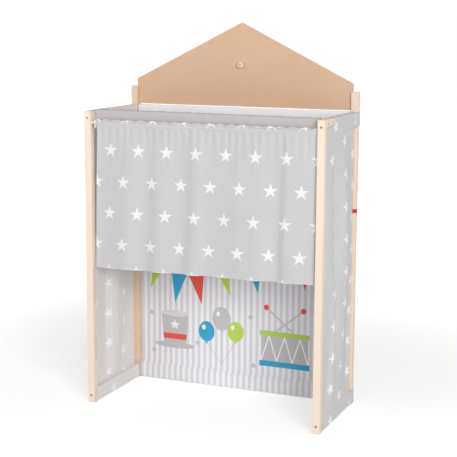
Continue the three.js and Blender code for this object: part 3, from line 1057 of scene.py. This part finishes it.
@dataclass
class Timbers:
    """The posts, rails and rod of the frame."""

    finish: PineFinish = PineFinish()
    groups: tuple[tuple[Grain, tuple[str, ...]], ...] = (
        (Grain.UPRIGHT, ("front_left_post", "front_right_post", "rear_left_post", "rear_right_post")),
        (Grain.ACROSS, ("front_top_rail", "rear_top_rail", "rear_bottom_rail", "curtain_rod")),
        (Grain.DEEP, ("left_top_rail", "left_bottom_rail", "right_top_rail", "right_bottom_rail")),
    )
    # The rear posts lean to the deep colour as painted shade, standing in for the dimmer light inside the
    # stand.
    rear_post_painted_shade: tuple[tuple[str, float], ...] = (("rear_left_post", 0.95), ("rear_right_post", 0.15))
    pith_reach: float = 0.048

    def pith(self, node: str, turn: int) -> Vector:
        """A pith line beside a timber, at another angle for each one.

        Args:
            node: The timber's node.
            turn: The timber's number.

        Returns:
            A place on the pith line.
        """
        low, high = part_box(node)
        angle = 2.4 * turn + 0.7
        towards = Vector((math.cos(angle), math.sin(angle), math.cos(angle * 1.7)))
        return (low + high) / 2 + towards * self.pith_reach

    def build(self) -> None:
        """Dresses every timber."""
        timbers = [(node, grain) for grain, nodes in self.groups for node in nodes]
        for turn, (node, grain) in enumerate(timbers, start=1):
            # How far a timber leans to the deep colour: painted shade on the rear posts.
            tone = dict(self.rear_post_painted_shade).get(node, 0.0)
            dress(node, self.finish.material(f"pine_{node}", grain, self.pith(node, turn), tone))


@dataclass
class Fastenings:
    """The screws and the nut."""

    finish: SteelFinish = SteelFinish()

    def build(self) -> None:
        """Dresses every screw and the nut."""
        steel = self.finish.material("zinc_plated_steel")
        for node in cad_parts:
            if node.endswith(("_screw", "_nut")):
                dress(node, steel)


@dataclass
class Gable:
    """The gable board and its turned knob, whose outline goes by radius and height."""

    board: FibreboardFinish = FibreboardFinish()
    wood: PineFinish = PineFinish()
    spin_steps: int = 72
    pith_beside: tuple[float, float, float] = (0.006, 0.0, -0.009)
    outline: tuple[Point, ...] = (
        (0.0022, 0.0000), (0.0062, 0.0000), (0.0065, 0.0003), (0.0062, 0.0012), (0.0058, 0.0028),
        (0.0060, 0.0046), (0.0070, 0.0058), (0.0088, 0.0068), (0.0100, 0.0083), (0.0105, 0.0102),
        (0.0104, 0.0124), (0.0098, 0.0144), (0.0084, 0.0161), (0.0066, 0.0169), (0.0048, 0.0170),
        (0.0043, 0.0168), (0.0042, 0.0163), (0.0042, 0.0140), (0.0022, 0.0118),
    )

    def knob(self) -> bpy.types.Object:
        """Turns the knob's outline about its axis.

        Returns:
            The knob's object.
        """
        low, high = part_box("gable_knob")
        foot = Vector(((low.x + high.x) / 2, high.y, (low.z + high.z) / 2))
        mesh = bmesh.new()
        verts = [mesh.verts.new((radius, -height, 0.0)) for radius, height in self.outline]
        rim = [mesh.edges.new(pair) for pair in zip(verts, [*verts[1:], verts[0]])]
        bmesh.ops.spin(
            mesh,
            geom=[*verts, *rim],
            cent=(0.0, 0.0, 0.0),
            axis=(0.0, 1.0, 0.0),
            angle=FULL_TURN,
            steps=self.spin_steps,
            use_merge=True,
        )
        bmesh.ops.remove_doubles(mesh, verts=mesh.verts, dist=0.000001)
        bmesh.ops.recalc_face_normals(mesh, faces=mesh.faces)
        bmesh.ops.translate(mesh, verts=mesh.verts, vec=foot)
        material = self.wood.material("pine_knob", Grain.DEEP, foot + Vector(self.pith_beside))
        piece = object_of("turned_knob", mesh, material)
        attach(piece, "knob")
        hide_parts("gable_knob")
        return piece

    def build(self) -> None:
        """Dresses the board and turns the knob."""
        dress("gable_board", self.board.material("raw_fibreboard"))
        LOG.info("made %s", self.knob().name)


@dataclass(frozen=True)
class Sleeve:
    """A sleeve of cloth round a rail, in section."""

    half_thickness: float = 0.0121
    half_height: float = 0.0236
    turn_radius: float = 0.004
    seam_allowance: float = 0.006


@dataclass(frozen=True)
class Rails:
    """The heights that the middles of the top and bottom rails lie at."""

    top: float = 0.9775
    bottom: float = 0.0255
    half_height: float = 0.0225


def curve_through(places: Sequence[float], values: Sequence[float], at: float) -> float:
    """The height of a smooth curve at a place.

    Args:
        places: Where the curve's points are, in rising order.
        values: The curve's height at each of them.
        at: The place asked for, held between the first and the last point.

    Returns:
        The curve's height there.
    """
    last = len(places) - 1
    index = min(max(bisect.bisect_right(places, at) - 1, 0), last - 1)
    span = places[index + 1] - places[index]
    share = share_of(at, places[index], places[index + 1])

    def slope(point: int) -> float:
        """How steep the curve is at one of its points."""
        before, after = max(point - 1, 0), min(point + 1, last)
        return (values[after] - values[before]) / (places[after] - places[before])

    squared, cubed = share * share, share * share * share
    return (
        (2 * cubed - 3 * squared + 1) * values[index]
        + (cubed - 2 * squared + share) * span * slope(index)
        + (3 * squared - 2 * cubed) * values[index + 1]
        + (cubed - squared) * span * slope(index + 1)
    )


@dataclass(frozen=True)
class Drape:
    """How far a hanging sheet stands out from its flat plane, in millimetres at some depths and heights."""

    depths: tuple[float, ...]
    heights: tuple[float, ...]
    rows: tuple[tuple[float, ...], ...]

    def out(self, depth: float, height: float) -> float:
        """How far out the sheet stands at a place, in metres."""
        at_heights = [curve_through(self.depths, row, depth) for row in self.rows]
        return 0.001 * curve_through(self.heights, at_heights, height)


RIGHT_DRAPE = Drape(
    depths=(
        -0.158, -0.125, -0.100, -0.085, -0.070, -0.058, -0.046, -0.025,
        0.0, 0.030, 0.060, 0.085, 0.110, 0.137, 0.158,
    ),
    heights=(0.05, 0.125, 0.235, 0.345, 0.44, 0.54, 0.65, 0.76, 0.87, 0.95),
    rows=(
        (0.0, -1.0, -2.0, -1.0, 0.5, 1.5, 1.0, -2.0, -2.0, -3.0, -5.0, -6.5, -7.5, -8.0, -7.0),
        (0.0, -2.0, -3.5, -0.5, 3.0, 6.0, 5.0, -2.0, -2.0, 0.5, -2.5, -6.5, -10.5, -12.0, -7.0),
        (0.0, 0.0, 1.0, 5.5, 10.0, 8.0, 0.0, -2.0, 3.0, 6.5, 2.5, -3.0, -8.5, -12.0, -7.0),
        (1.0, 3.0, 6.5, 10.0, 12.0, 5.0, -1.0, 1.0, 7.5, 11.5, 7.5, 2.0, -4.0, -9.0, -7.0),
        (1.0, 4.0, 8.5, 12.5, 12.0, 4.0, 0.0, 4.0, 10.0, 14.5, 11.0, 5.5, -0.5, -5.0, -7.0),
        (1.0, 6.0, 9.0, 7.0, 2.0, -3.0, -5.0, 0.0, 8.0, 14.5, 11.0, 6.0, 0.5, -3.5, -7.0),
        (0.0, 5.0, 7.0, 3.0, -2.0, -6.0, -8.0, -4.0, 3.0, 11.5, 8.5, 5.0, 0.5, -3.5, -7.0),
        (-1.0, 2.0, 3.0, 0.5, -4.0, -8.5, -9.0, -4.0, 2.0, 8.0, 5.0, 2.0, -2.0, -4.5, -7.0),
        (-3.0, -6.5, -7.5, -7.0, -6.8, -6.8, -6.0, -3.5, -1.0, 2.0, 0.0, -3.0, -5.5, -7.5, -7.5),
        (0.0, -2.0, -3.0, -3.0, -3.0, -3.0, -2.0, -2.0, -2.0, -2.0, -4.0, -5.0, -6.0, -7.5, -8.0),
    ),
)
LEFT_DRAPE = Drape(
    depths=(-0.158, -0.110, -0.066, -0.043, -0.018, 0.010, 0.0635, 0.100, 0.158),
    heights=(0.05, 0.13, 0.24, 0.40, 0.70, 0.95),
    rows=(
        (-9.0, -4.0, 0.0, -3.0, -7.0, -9.0, -3.0, -1.0, 0.0),
        (-12.0, -5.0, 0.0, -4.0, -10.0, -12.0, -3.5, -1.5, 0.0),
        (-14.0, -6.0, 0.0, -4.0, -11.0, -14.5, -8.5, -2.5, 0.0),
        (-14.0, -6.0, 0.0, -4.0, -11.5, -15.0, -7.5, -2.0, 0.5),
        (-9.0, -4.0, 0.0, -3.0, -8.0, -11.0, -6.0, -2.0, 0.0),
        (-4.0, -2.0, 0.0, -1.0, -4.0, -6.0, -3.0, -1.0, 0.0),
    ),
)


@dataclass
class SideCover:
    """A star cloth with a sleeve round each side rail, carried round the outside of the rear post."""

    side: int
    finish: ClothFinish
    drape: Drape
    open_corner: bool = False
    thickness: float = 0.0008
    plane: float = 0.406
    sheet_out: float = 0.0089
    front: float = -0.1582
    rear: float = 0.1582
    step_height: float = 0.004
    step_drop: float = 0.003
    longest_row: float = 0.0115
    column_count: int = 92
    crease: float = 0.0007
    sleeve: Sleeve = Sleeve()
    rails: Rails = Rails()
    opening: tuple[Point, ...] = ((-0.1582, 0.9745), (-0.0952, 0.9805), (-0.0782, 1.0022))
    front_rail_room: tuple[tuple[float, float], ...] = ((0.376, 0.3965), (-0.1595, -0.1335), (0.9525, 1.01))
    post_outside: float = 0.4189
    post_back: float = 0.1839
    post_inside: float = 0.3945
    band_half_height: float = 0.0236
    band_length: float = 0.085
    band_depth: float = 0.045

    @property
    def name(self) -> str:
        """The side that the cover is on, in the names of its pieces."""
        return "right" if self.side > 0 else "left"

    def course(self) -> Course:
        """The cloth's course in section, from the seam of the top sleeve to that of the bottom one.

        Returns:
            The course.
        """
        wide, tall = self.sleeve.half_thickness, self.sleeve.half_height
        behind = self.sheet_out - self.thickness
        upper = [
            (behind, -tall - self.sleeve.seam_allowance),
            (behind, -tall),
            (-wide, -tall),
            (-wide, tall),
            (wide, tall),
            (wide, -tall + self.step_height),
            (self.sheet_out, -tall - self.step_drop),
        ]
        corners = [(out, self.rails.top + height) for out, height in upper]
        corners += [(out, self.rails.bottom - height) for out, height in reversed(upper)]
        return Course(corners, self.sleeve.turn_radius)

    def stands_out(self, depth: float, height: float) -> float:
        """How far out from its flat plane the sheet stands.

        Args:
            depth: The place's depth.
            height: The place's height.

        Returns:
            The distance in metres, which is 0 at the rails.
        """
        half_rail = self.rails.half_height
        rise = share_of(height, self.rails.bottom + half_rail, self.rails.top - half_rail)
        at_rear = share_of(depth, 0.6 * self.rear, self.rear)
        free = math.sqrt(min(1.0, (6.0 + 16.0 * at_rear) * abs(math.sin(math.pi * rise))))
        soft = 0.0020 * ripple(depth, 0.6 * height, layer=self.side, scale=9.0)
        soft += 0.0007 * ripple(depth, height, layer=self.side, scale=24.0)
        return free * (self.drape.out(depth, height) + soft * (1.0 - 0.8 * at_rear))

    def outside(self, depth: float, height: float) -> float:
        """How far from the middle of the stand the sheet's outer face is."""
        return self.plane + self.sheet_out + self.stands_out(depth, height) + self.thickness

    def build(self) -> bpy.types.Object:
        """Makes the cover.

        Returns:
            The cover's object.
        """
        course = self.course()
        reference = course.height_at_start()

        def place(depth: float, along: float) -> Vector:
            """Where a place of the flat cover lies.

            Args:
                depth: Its depth.
                along: How far along the course it is.

            Returns:
                Its place on the object.
            """
            spot = course.at(along)
            crease = self.crease * ripple(depth, along, layer=3.0 * self.side, scale=28.0)
            spot = spot + course.normal(along) * crease
            out = self.stands_out(depth, spot.y)
            return Vector((self.side * (self.plane + spot.x + out), depth, spot.y))

        def in_front_rails_way(spot: Vector) -> bool:
            """Whether a place is in the room that the end of the front rail needs."""
            seen = (self.side * spot.x, spot.y, spot.z)
            return all(low < value < high for value, (low, high) in zip(seen, self.front_rail_room))

        sheet = Sheet(f"{self.name}_star_cover")
        columns = steps(self.front, self.rear, self.column_count)
        sheet.panel(columns, course.rows(self.longest_row), place, lambda along: reference - along)
        if self.open_corner:
            sheet.open_above(self.opening)
        sheet.open_where(in_front_rails_way)
        for level in (self.rails.top, self.rails.bottom):
            self.band(sheet, level)
        piece = sheet.finished(self.finish.material(f"star_cotton_{sheet.name}"), self.thickness)
        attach(piece, "stand")
        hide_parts(f"{self.name}_side_cover")
        return piece

    def band(self, sheet: Sheet, level: float) -> None:
        """Adds the band that carries a sleeve round the outside of the rear post.

        Args:
            sheet: The cover's sheet.
            level: The height of the rail's middle.
        """
        beside = self.plane + self.sleeve.half_thickness
        corners = [
            (beside, self.rear - 0.020),
            (beside, self.rear - 0.004),
            (self.post_outside, self.rear + 0.0015),
            (self.post_outside, self.post_back),
            (self.post_inside, self.post_back),
        ]
        course = Course(corners, turn_radius=0.0028, turn_steps=5)

        def place(along: float, height: float) -> Vector:
            """Where a place of the flat band lies.

            Args:
                along: How far along the course it is.
                height: Its height.

            Returns:
                Its place on the object.
            """
            spot = course.at(along)
            out = course.normal(along) * (-0.0004 + 0.0004 * ripple(along, height, layer=level, scale=40.0))
            return Vector((self.side * (spot.x + out.x), spot.y + out.y, height))

        rows = steps(level - self.band_half_height, level + self.band_half_height, 10)
        sheet.panel(course.rows(0.004), rows, place)


@dataclass
class Backdrop:
    """The printed cloth with a sleeve round each rear rail."""

    finish: SceneClothFinish = SceneClothFinish()
    thickness: float = 0.0008
    plane: float = 0.171
    half_width: float = 0.3928
    wave: float = 0.0030
    wave_count: float = 3.4
    sleeve_slope: float = 0.016
    held_below: float = 0.046
    held_above: float = 0.030
    longest_row: float = 0.013
    column_count: int = 120
    sleeve: Sleeve = Sleeve()
    rails: Rails = Rails()

    def course(self) -> Course:
        """The cloth's course in section, from the seam of the top sleeve to that of the bottom one.

        Returns:
            The course.
        """
        wide, tall, tail = self.sleeve.half_thickness, self.sleeve.half_height, self.sleeve.seam_allowance
        top, bottom = self.rails.top, self.rails.bottom
        lap = self.thickness
        seam = bottom + tall + self.sleeve_slope
        corners = [
            (lap, top - tall - tail),
            (lap, top - tall),
            (wide, top - tall),
            (wide, top + tall),
            (-wide, top + tall),
            (-wide, top - tall),
            (0.0, top - tall),
            (0.0, seam),
            (-wide, bottom + tall),
            (-wide, bottom - tall),
            (wide, bottom - tall),
            (wide, bottom + tall),
            (lap, seam),
            (lap, seam + tail),
        ]
        return Course(corners, self.sleeve.turn_radius)

    def slack(self, across: float, height: float) -> float:
        """How far the sheet stands to the back of its plane.

        Args:
            across: The place across.
            height: The place's height.

        Returns:
            The distance in metres, which is 0 at the sleeves and at both edges.
        """
        rise = share_of(height, self.rails.bottom + self.held_below, self.rails.top - self.held_above)
        run = share_of(across, -self.half_width, self.half_width)
        if not (0 < rise < 1 and 0 < run < 1):
            return 0.0
        held = math.sin(math.pi * rise) ** 0.6 * math.sin(math.pi * run) ** 0.4
        soft = self.wave * math.sin(FULL_TURN * self.wave_count * run + 2.0 * rise)
        soft += 0.003 * ripple(across, height, layer=5.0, scale=5.0)
        return held * (soft + 0.0012 * ripple(across, height, layer=1.0, scale=17.0))

    def build(self) -> bpy.types.Object:
        """Makes the backdrop.

        Returns:
            The backdrop's object.
        """
        course = self.course()
        reference = course.height_at_start()

        def place(across: float, along: float) -> Vector:
            """Where a place of the flat backdrop lies.

            Args:
                across: Its place across.
                along: How far along the course it is.

            Returns:
                Its place on the object.
            """
            crease = 0.0007 * ripple(across, along, layer=8.0, scale=26.0)
            spot = course.at(along) + course.normal(along) * crease
            return Vector((across, self.plane + spot.x + self.slack(across, spot.y), spot.y))

        sheet = Sheet("scene_backdrop")
        columns = steps(-self.half_width, self.half_width, self.column_count)
        sheet.panel(columns, course.rows(self.longest_row), place, lambda along: reference - along)
        piece = sheet.finished(self.finish.material("scene_cotton"), self.thickness)
        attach(piece, "stand")
        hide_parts("backdrop")
        return piece


@dataclass
class FrontSleeve:
    """The plain sleeve on the front rail, a little too long, so that it puckers."""

    finish: ClothFinish
    thickness: float = 0.0008
    plane: float = -0.1462
    level: float = 0.9775
    half_width: float = 0.3922
    fullness: float = 1.06
    slack_top: float = 0.0042
    end_draw: float = 0.004
    end_share: float = 0.08
    longest_row: float = 0.0042
    column_count: int = 300
    sleeve: Sleeve = Sleeve(half_thickness=0.0118, half_height=0.0234, seam_allowance=0.0085)

    def build(self) -> bpy.types.Object:
        """Makes the sleeve.

        Returns:
            The sleeve's object.
        """
        wide, tall, tail = self.sleeve.half_thickness, self.sleeve.half_height, self.sleeve.seam_allowance
        lap = self.thickness * 0.55
        half = [(lap, -tall - tail), (lap, -tall), (wide, -tall), (wide, tall)]
        course = Course([*half, *((-out, height) for out, height in reversed(half))], self.sleeve.turn_radius)

        def place(across: float, along: float) -> Vector:
            """Where a place of the flat sleeve lies.

            Args:
                across: Its place across.
                along: How far along the course it is.

            Returns:
                Its place on the object.
            """
            spot = course.at(along)
            pucker = 0.0018 * ripple(across, along * 0.35, layer=2.0, scale=42.0)
            pucker += 0.0010 * ripple(across, along, layer=9.0, scale=95.0)
            pucker += 0.0014 * ripple(across + along, along * 0.5, layer=7.0, scale=16.0)
            loose = 1.0 if spot.y > -tall + 0.001 else 0.3
            spot = spot + course.normal(along) * (loose * (0.0006 - abs(pucker)))
            run = share_of(across, -self.half_width, self.half_width)
            rise = eased(share_of(spot.y, -tall, tall))
            lift = self.slack_top * rise * (1.0 - 0.5 * run)
            drawn = self.end_draw * (1.0 - rise) * max(0.0, 1.0 - run / self.end_share)
            return Vector((across + drawn, self.plane + spot.x, self.level + spot.y + lift))

        sheet = Sheet("plain_front_sleeve")
        columns = steps(-self.half_width, self.half_width, self.column_count)
        sheet.panel(columns, course.rows(self.longest_row), place, lambda along: course.length / 2 - along)
        piece = sheet.finished(self.finish.material("plain_cotton"), self.thickness)
        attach(piece, "stand")
        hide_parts("front_rail_sleeve")
        return piece


@dataclass
class Curtain:
    """The star curtain, gathered on its rod under a ruffled heading and hemmed at its foot."""

    finish: ClothFinish
    thickness: float = 0.0007
    plane: float = -0.171
    rod: float = 0.962
    left: float = -0.376
    right: float = 0.391
    foot_flare: float = 0.005
    channel_reach: float = 0.0085
    heading: float = 0.011
    channel_half: float = 0.0052
    hem: float = 0.478
    hem_slope: float = 0.008
    hem_depth: float = 0.018
    drift: float = 0.009
    middle_drift: float = 0.0085
    hem_take_up: float = 0.0175
    take_up_height: float = 0.040
    heading_rise: float = 0.004
    fullness: float = 1.05
    fold_depth: float = 0.0062
    fold_growth: float = 0.35
    pucker_depth: float = 0.0021
    pucker_count: int = 29
    ruffle_depth: float = 0.0024
    ruffle_count: int = 24
    scallop_height: float = 0.0019
    scallop_count: int = 19
    travel: float = 0.52
    longest_row: float = 0.0125
    column_count: int = 330
    turns: tuple[float, ...] = (0.02, 0.16, 0.245, 0.31, 0.41, 0.475, 0.535, 0.74, 0.84, 0.885, 1.03)

    def course(self) -> Course:
        """The cloth's course in section, from behind the rod over the heading and down to the hem.

        Returns:
            The course.
        """
        back, lap = self.channel_half, self.thickness * 0.6
        from_rod = [
            (lap, -0.0120),
            (lap, -0.0072),
            (back, -0.0035),
            (back, 0.0035),
            (lap, 0.0070),
            (lap, self.heading),
            (-lap, self.heading),
            (-lap, 0.0070),
            (-back, 0.0035),
            (-back, -0.0035),
            (-0.62 * back, -0.0130),
            (-0.18 * back, -0.0290),
            (0.0, -0.050),
        ]
        turned_up = [(0.0, self.hem), (0.0012, self.hem), (0.0012, self.hem + self.hem_depth)]
        corners = [(out, self.rod + height) for out, height in from_rod] + turned_up
        return Course(corners, turn_radius=0.0016, turn_steps=3)

    def wave(self, share: float) -> float:
        """The main folds.

        Args:
            share: The share of the width, from the left edge.

        Returns:
            1 at each turn to the front and -1 at each turn to the back.
        """
        for index, (start, end) in enumerate(zip(self.turns, self.turns[1:])):
            if share <= end:
                return -math.cos(math.pi * (index + share_of(share, start, end)))
        return -math.cos(math.pi * (len(self.turns) - 1))

    def fold(self, share: float, height: float) -> float:
        """How far the cloth stands to the front.

        Args:
            share: The share of the width, from the left edge.
            height: The height on the hung cloth.

        Returns:
            The distance in metres.
        """
        start = self.rod - 0.0055
        if height >= start:
            return 0.0
        fall = share_of(height, start, self.hem)
        shifted = share + 0.010 * fall * ripple(share, fall, layer=1.0, scale=2.3)
        main = self.fold_depth * fall**self.fold_growth * self.wave(shifted)
        turns = FULL_TURN * self.pucker_count * share + 2.4 * ripple(share, 0.0, layer=4.0, scale=11.0)
        steepness = 9.0 + 5.0 * ripple(share, 3.0, layer=1.0, scale=13.0)
        fading = math.exp(-fall * steepness) * min(1.0, fall * 28.0)
        pucker = self.pucker_depth * math.sin(turns) * fading
        small = 0.0026 * ripple(share * 3.2, 0.7 * fall, layer=2.0, scale=5.0) * math.sqrt(fall)
        return main + pucker + small

    def place(self, spot: Vector, share: float, along: float) -> Vector:
        """Where a place of the flat curtain lies.

        Args:
            spot: Its place in section.
            share: Its share of the width, from the left edge.
            along: How far along the course it is.

        Returns:
            Its place on the object.
        """
        fall = share_of(spot.y, self.rod, self.hem)
        x = self.left + share * (self.right - self.left) - self.foot_flare * fall * (1 - share) ** 4
        x -= self.drift * fall**0.7 * (1 - 0.6 * share)
        x -= self.middle_drift * fall * math.sqrt(4 * share * (1 - share))
        ruffle = eased(share_of(spot.y, self.rod + 0.0045, self.rod + self.heading))
        sway = 1.5 * ripple(share, 1.0, layer=0.0, scale=7.0)
        wave = math.sin(FULL_TURN * self.ruffle_count * share + sway)
        y = self.plane + spot.x - self.fold(share, spot.y) + ruffle * self.ruffle_depth * wave
        if spot.y > self.rod - 0.012:
            gather = abs(0.0008 * ripple(share, along * 0.4, layer=3.0, scale=60.0))
            y += gather if spot.x > 0 else -gather
        sway = 2.2 * ripple(share, 2.0, layer=0.0, scale=6.0)
        scallop = math.cos(FULL_TURN * self.scallop_count * share + sway)
        z = spot.y + ruffle * self.scallop_height * scallop
        z += self.hem_slope * (share - 0.5) * share_of(spot.y, self.rod - 0.05, self.hem)
        return Vector((x, y, z))

    def build(self) -> bpy.types.Object:
        """Makes the curtain.

        Returns:
            The curtain's object.
        """
        course = self.course()
        reference = course.height_at_start()

        def place(flat_across: float, along: float) -> Vector:
            """Where a place of the flat curtain lies."""
            return self.place(course.at(along), share_of(flat_across, self.left, self.right), along)

        def printed_at(along: float) -> float:
            """The height that the print has at a place, drawn up a little at the heading and the hem.

            Args:
                along: How far along the course the place is.

            Returns:
                The height.
            """
            height = course.at(along).y
            hem = self.hem_take_up * share_of(height, self.hem + self.take_up_height, self.hem)
            heading = self.heading_rise * share_of(height, self.rod - 0.040, self.rod - 0.008)
            return reference - along - hem - heading

        sheet = Sheet("star_curtain")
        columns = steps(self.left, self.right, self.column_count)
        sheet.panel(columns, course.rows(self.longest_row), place, printed_at)
        self.channel_end(sheet)
        piece = sheet.finished(self.finish.material("star_cotton_curtain"), self.thickness)
        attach(piece, "curtain")
        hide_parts("curtain")
        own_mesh(piece)
        return piece

    def channel_end(self, sheet: Sheet) -> None:
        """Adds the channel's left end, which reaches along the rod to the post.

        Args:
            sheet: The curtain's sheet.
        """
        columns = steps(self.left - self.channel_reach, self.left + 0.0006, 8)
        rows = steps(self.rod - 0.0165, self.rod + 0.0095, 10)

        def place(across: float, height: float) -> Vector:
            """Where a place of the flat channel end lies.

            Args:
                across: Its place across.
                height: Its height.

            Returns:
                Its place on the object.
            """
            share = share_of(across, columns[0], columns[-1])
            sag = 0.0012 * ripple(across, height, layer=6.0, scale=90.0) + 0.0022 * (1 - share)
            forward = self.channel_half - 0.0004 + 0.0004 * ripple(across, height, layer=2.0, scale=120.0)
            return Vector((across, self.plane - forward, height - sag))

        sheet.panel(columns, rows, place)


@dataclass
class SideTab:
    """A short red tape sewn to the right cover's rear edge and laid round the post's corner."""

    cover: SideCover
    finish: TapeFinish = TapeFinish()
    thickness: float = 0.0009
    level: float = 0.671
    half_height: float = 0.006
    sewn_length: float = 0.0095
    post_front: float = 0.1583
    outside: float = 0.4189
    depth: float = 0.0178
    free_end_lift: float = 0.0006
    free_end_droop: float = 0.0012

    def build(self) -> bpy.types.Object:
        """Makes the tab.

        Returns:
            The tab's object.
        """
        start = self.post_front - self.sewn_length
        clear = 0.6 * self.thickness
        corners = [
            (self.cover.outside(start, self.level) + clear, start),
            (self.cover.outside(self.post_front, self.level) + clear, self.post_front),
            (self.outside, self.post_front),
            (self.outside, self.post_front + self.depth),
        ]
        course = Course(corners, turn_radius=0.0015)

        def place(along: float, height: float) -> Vector:
            """Where a place of the flat tape lies.

            Args:
                along: How far along the course it is.
                height: Its height from the tape's middle.

            Returns:
                Its place on the object.
            """
            spot = course.at(along)
            lift = self.free_end_lift * share_of(along, course.length * 0.6, course.length) ** 2
            droop = self.free_end_droop * share_of(along, course.length * 0.5, course.length) ** 2
            return Vector((spot.x + lift, spot.y, self.level + height - droop))

        sheet = Sheet("red_tape_tab")
        sheet.panel(course.rows(0.0016), steps(-self.half_height, self.half_height, 8), place)
        piece = sheet.finished(self.finish.material("red_woven_tape"), self.thickness)
        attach(piece, "stand")
        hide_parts("side_tab")
        return piece


@dataclass(frozen=True)
class Lamp:
    """A soft square lamp: its place, the side of its face, its power in watts and its linear colour."""

    name: str
    place: tuple[float, float, float]
    size: float
    power: float
    colour: Rgb

    def hang(self, aim: Vector) -> None:
        """Hangs the lamp.

        Args:
            aim: The point that it faces.
        """
        data = bpy.data.lights.new(self.name, "AREA")
        data.shape = "SQUARE"
        data.size = self.size
        data.energy = self.power
        data.color = self.colour
        holder = bpy.data.objects.new(self.name, data)
        place = Vector(self.place)
        turn = (aim - place).to_track_quat("-Z", "Y").to_matrix().to_4x4()
        holder.matrix_world = Matrix.Translation(place) @ turn
        bpy.context.scene.collection.objects.link(holder)


@dataclass
class Studio:
    """The floor, the lamps, the world and the camera."""

    camera_place: tuple[float, float, float] = (1.560, -3.651, 1.304)
    yaw: float = math.radians(22.80)
    pitch: float = math.radians(9.95)
    roll: float = math.radians(0.28)
    lens: float = 94.45
    floor_half: float = 14.0
    world_strength: float = 0.40
    floor_colour: Rgb = (0.965, 0.965, 0.965)
    near_glow: float = 0.42
    far_glow: float = 0.90
    glow_start: float = 0.7
    glow_end: float = 3.2
    aim: tuple[float, float, float] = (0.0, 0.0, 0.65)
    lamps: tuple[Lamp, ...] = (
        Lamp("key", (5.2, -6.2, 2.7), 3.6, 373.0, (1.0, 0.992, 0.982)),
        Lamp("fill", (-2.6, -4.6, 1.6), 2.8, 58.0, (0.99, 0.993, 1.0)),
    )

    def camera(self) -> None:
        """Sets the camera where the photograph was taken from."""
        forward = Vector((
            -math.sin(self.yaw) * math.cos(self.pitch),
            math.cos(self.yaw) * math.cos(self.pitch),
            -math.sin(self.pitch),
        ))
        right = Vector((math.cos(self.yaw), math.sin(self.yaw), 0.0))
        up = right.cross(forward)
        turned_right = right * math.cos(self.roll) + up * math.sin(self.roll)
        turned_up = up * math.cos(self.roll) - right * math.sin(self.roll)
        data = bpy.data.cameras.new("camera")
        data.lens = self.lens
        data.sensor_width = 36.0
        data.clip_end = 100.0
        holder = bpy.data.objects.new("camera", data)
        axes = Matrix((turned_right, turned_up, -forward)).transposed()
        holder.matrix_world = Matrix.Translation(Vector(self.camera_place)) @ axes.to_4x4()
        bpy.context.scene.collection.objects.link(holder)
        bpy.context.scene.camera = holder

    def floor(self) -> None:
        """Lays the pale floor, which looks white and keeps the shadows."""
        mesh = bmesh.new()
        bmesh.ops.create_grid(mesh, x_segments=1, y_segments=1, size=self.floor_half)
        bench = new_bench("pale_floor")
        matt = bench.made("ShaderNodeBsdfDiffuse", named={"Color": linear(self.floor_colour)})
        away = bench.vector("LENGTH", bench.place(), output="Value")
        far = away.ramp(self.glow_start, self.glow_end)
        strength = far * (self.far_glow - self.near_glow) + self.near_glow
        glow = bench.made("ShaderNodeEmission", named={"Strength": bench.seen() * strength})
        bench.close("ShaderNodeOutputMaterial", bench.made("ShaderNodeAddShader", matt, glow))
        object_of("floor", mesh, bench.owner)

    def world(self) -> None:
        """Fills the room with soft light and shows white behind the object."""
        bench = Bench(bpy.data.worlds.new("studio"))
        light, white = (
            bench.made("ShaderNodeBackground", named={"Color": WHITE, "Strength": strength})
            for strength in (self.world_strength, 1.0)
        )
        bench.close("ShaderNodeOutputWorld", bench.made("ShaderNodeMixShader", bench.seen(), light, white))
        bpy.context.scene.world = bench.owner

    def build(self) -> None:
        """Sets up the whole studio."""
        self.camera()
        self.floor()
        self.world()
        for lamp in self.lamps:
            lamp.hang(Vector(self.aim))
        bpy.context.scene.view_settings.view_transform = "Standard"


def side_covers() -> tuple[SideCover, SideCover]:
    """The side covers, each with its own print and folds.

    Returns:
        The right and the left cover.
    """
    seams = (0.9500, 0.0530)
    right_print = StarPrint((-0.073, 0.1204), pitch_along_row=0.1063, row_pitch=0.1075, turned=True)
    left_print = StarPrint((-0.043, 0.0710), pitch_along_row=0.1070, row_pitch=0.1065, turned=True)
    right_cloth = ClothFinish(ground=(0.832, 0.829, 0.836), print_on=right_print, seams=seams)
    # Both covers are one cloth. The left one's lighter ground is painted light, for the light that comes
    # through it onto its inner face.
    left_cloth_painted_light = ClothFinish(ground=(0.908, 0.894, 0.886), print_on=left_print, seams=seams)
    return (
        SideCover(side=1, finish=right_cloth, drape=RIGHT_DRAPE, open_corner=True),
        SideCover(side=-1, finish=left_cloth_painted_light, drape=LEFT_DRAPE),
    )


def curtain_cloth() -> ClothFinish:
    """The curtain's cloth with its print."""
    stars = StarPrint((-0.3225, 0.8738), pitch_along_row=0.1028, row_pitch=0.1045, ink=(0.925, 0.922, 0.932))
    return ClothFinish(ground=(0.785, 0.782, 0.789), print_on=stars, seams=(0.495,))


def main() -> None:
    """Builds the stand in order and logs what it makes."""
    logging.basicConfig(level=logging.INFO, format="%(message)s")
    noise.seed_set(7)
    Studio().build()
    Timbers().build()
    Fastenings().build()
    Gable().build()
    right_cover, left_cover = side_covers()
    sheets = (
        right_cover,
        left_cover,
        Backdrop(),
        # The sleeve's ground is darker than the curtain's as painted shade: the rail inside it lets no light
        # through.
        FrontSleeve(finish=ClothFinish(ground=(0.745, 0.730, 0.728))),
        Curtain(finish=curtain_cloth()),
        SideTab(cover=right_cover),
    )
    for sheet in sheets:
        LOG.info("made %s", sheet.build().name)
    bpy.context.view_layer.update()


if __name__ == "__main__":
    main()
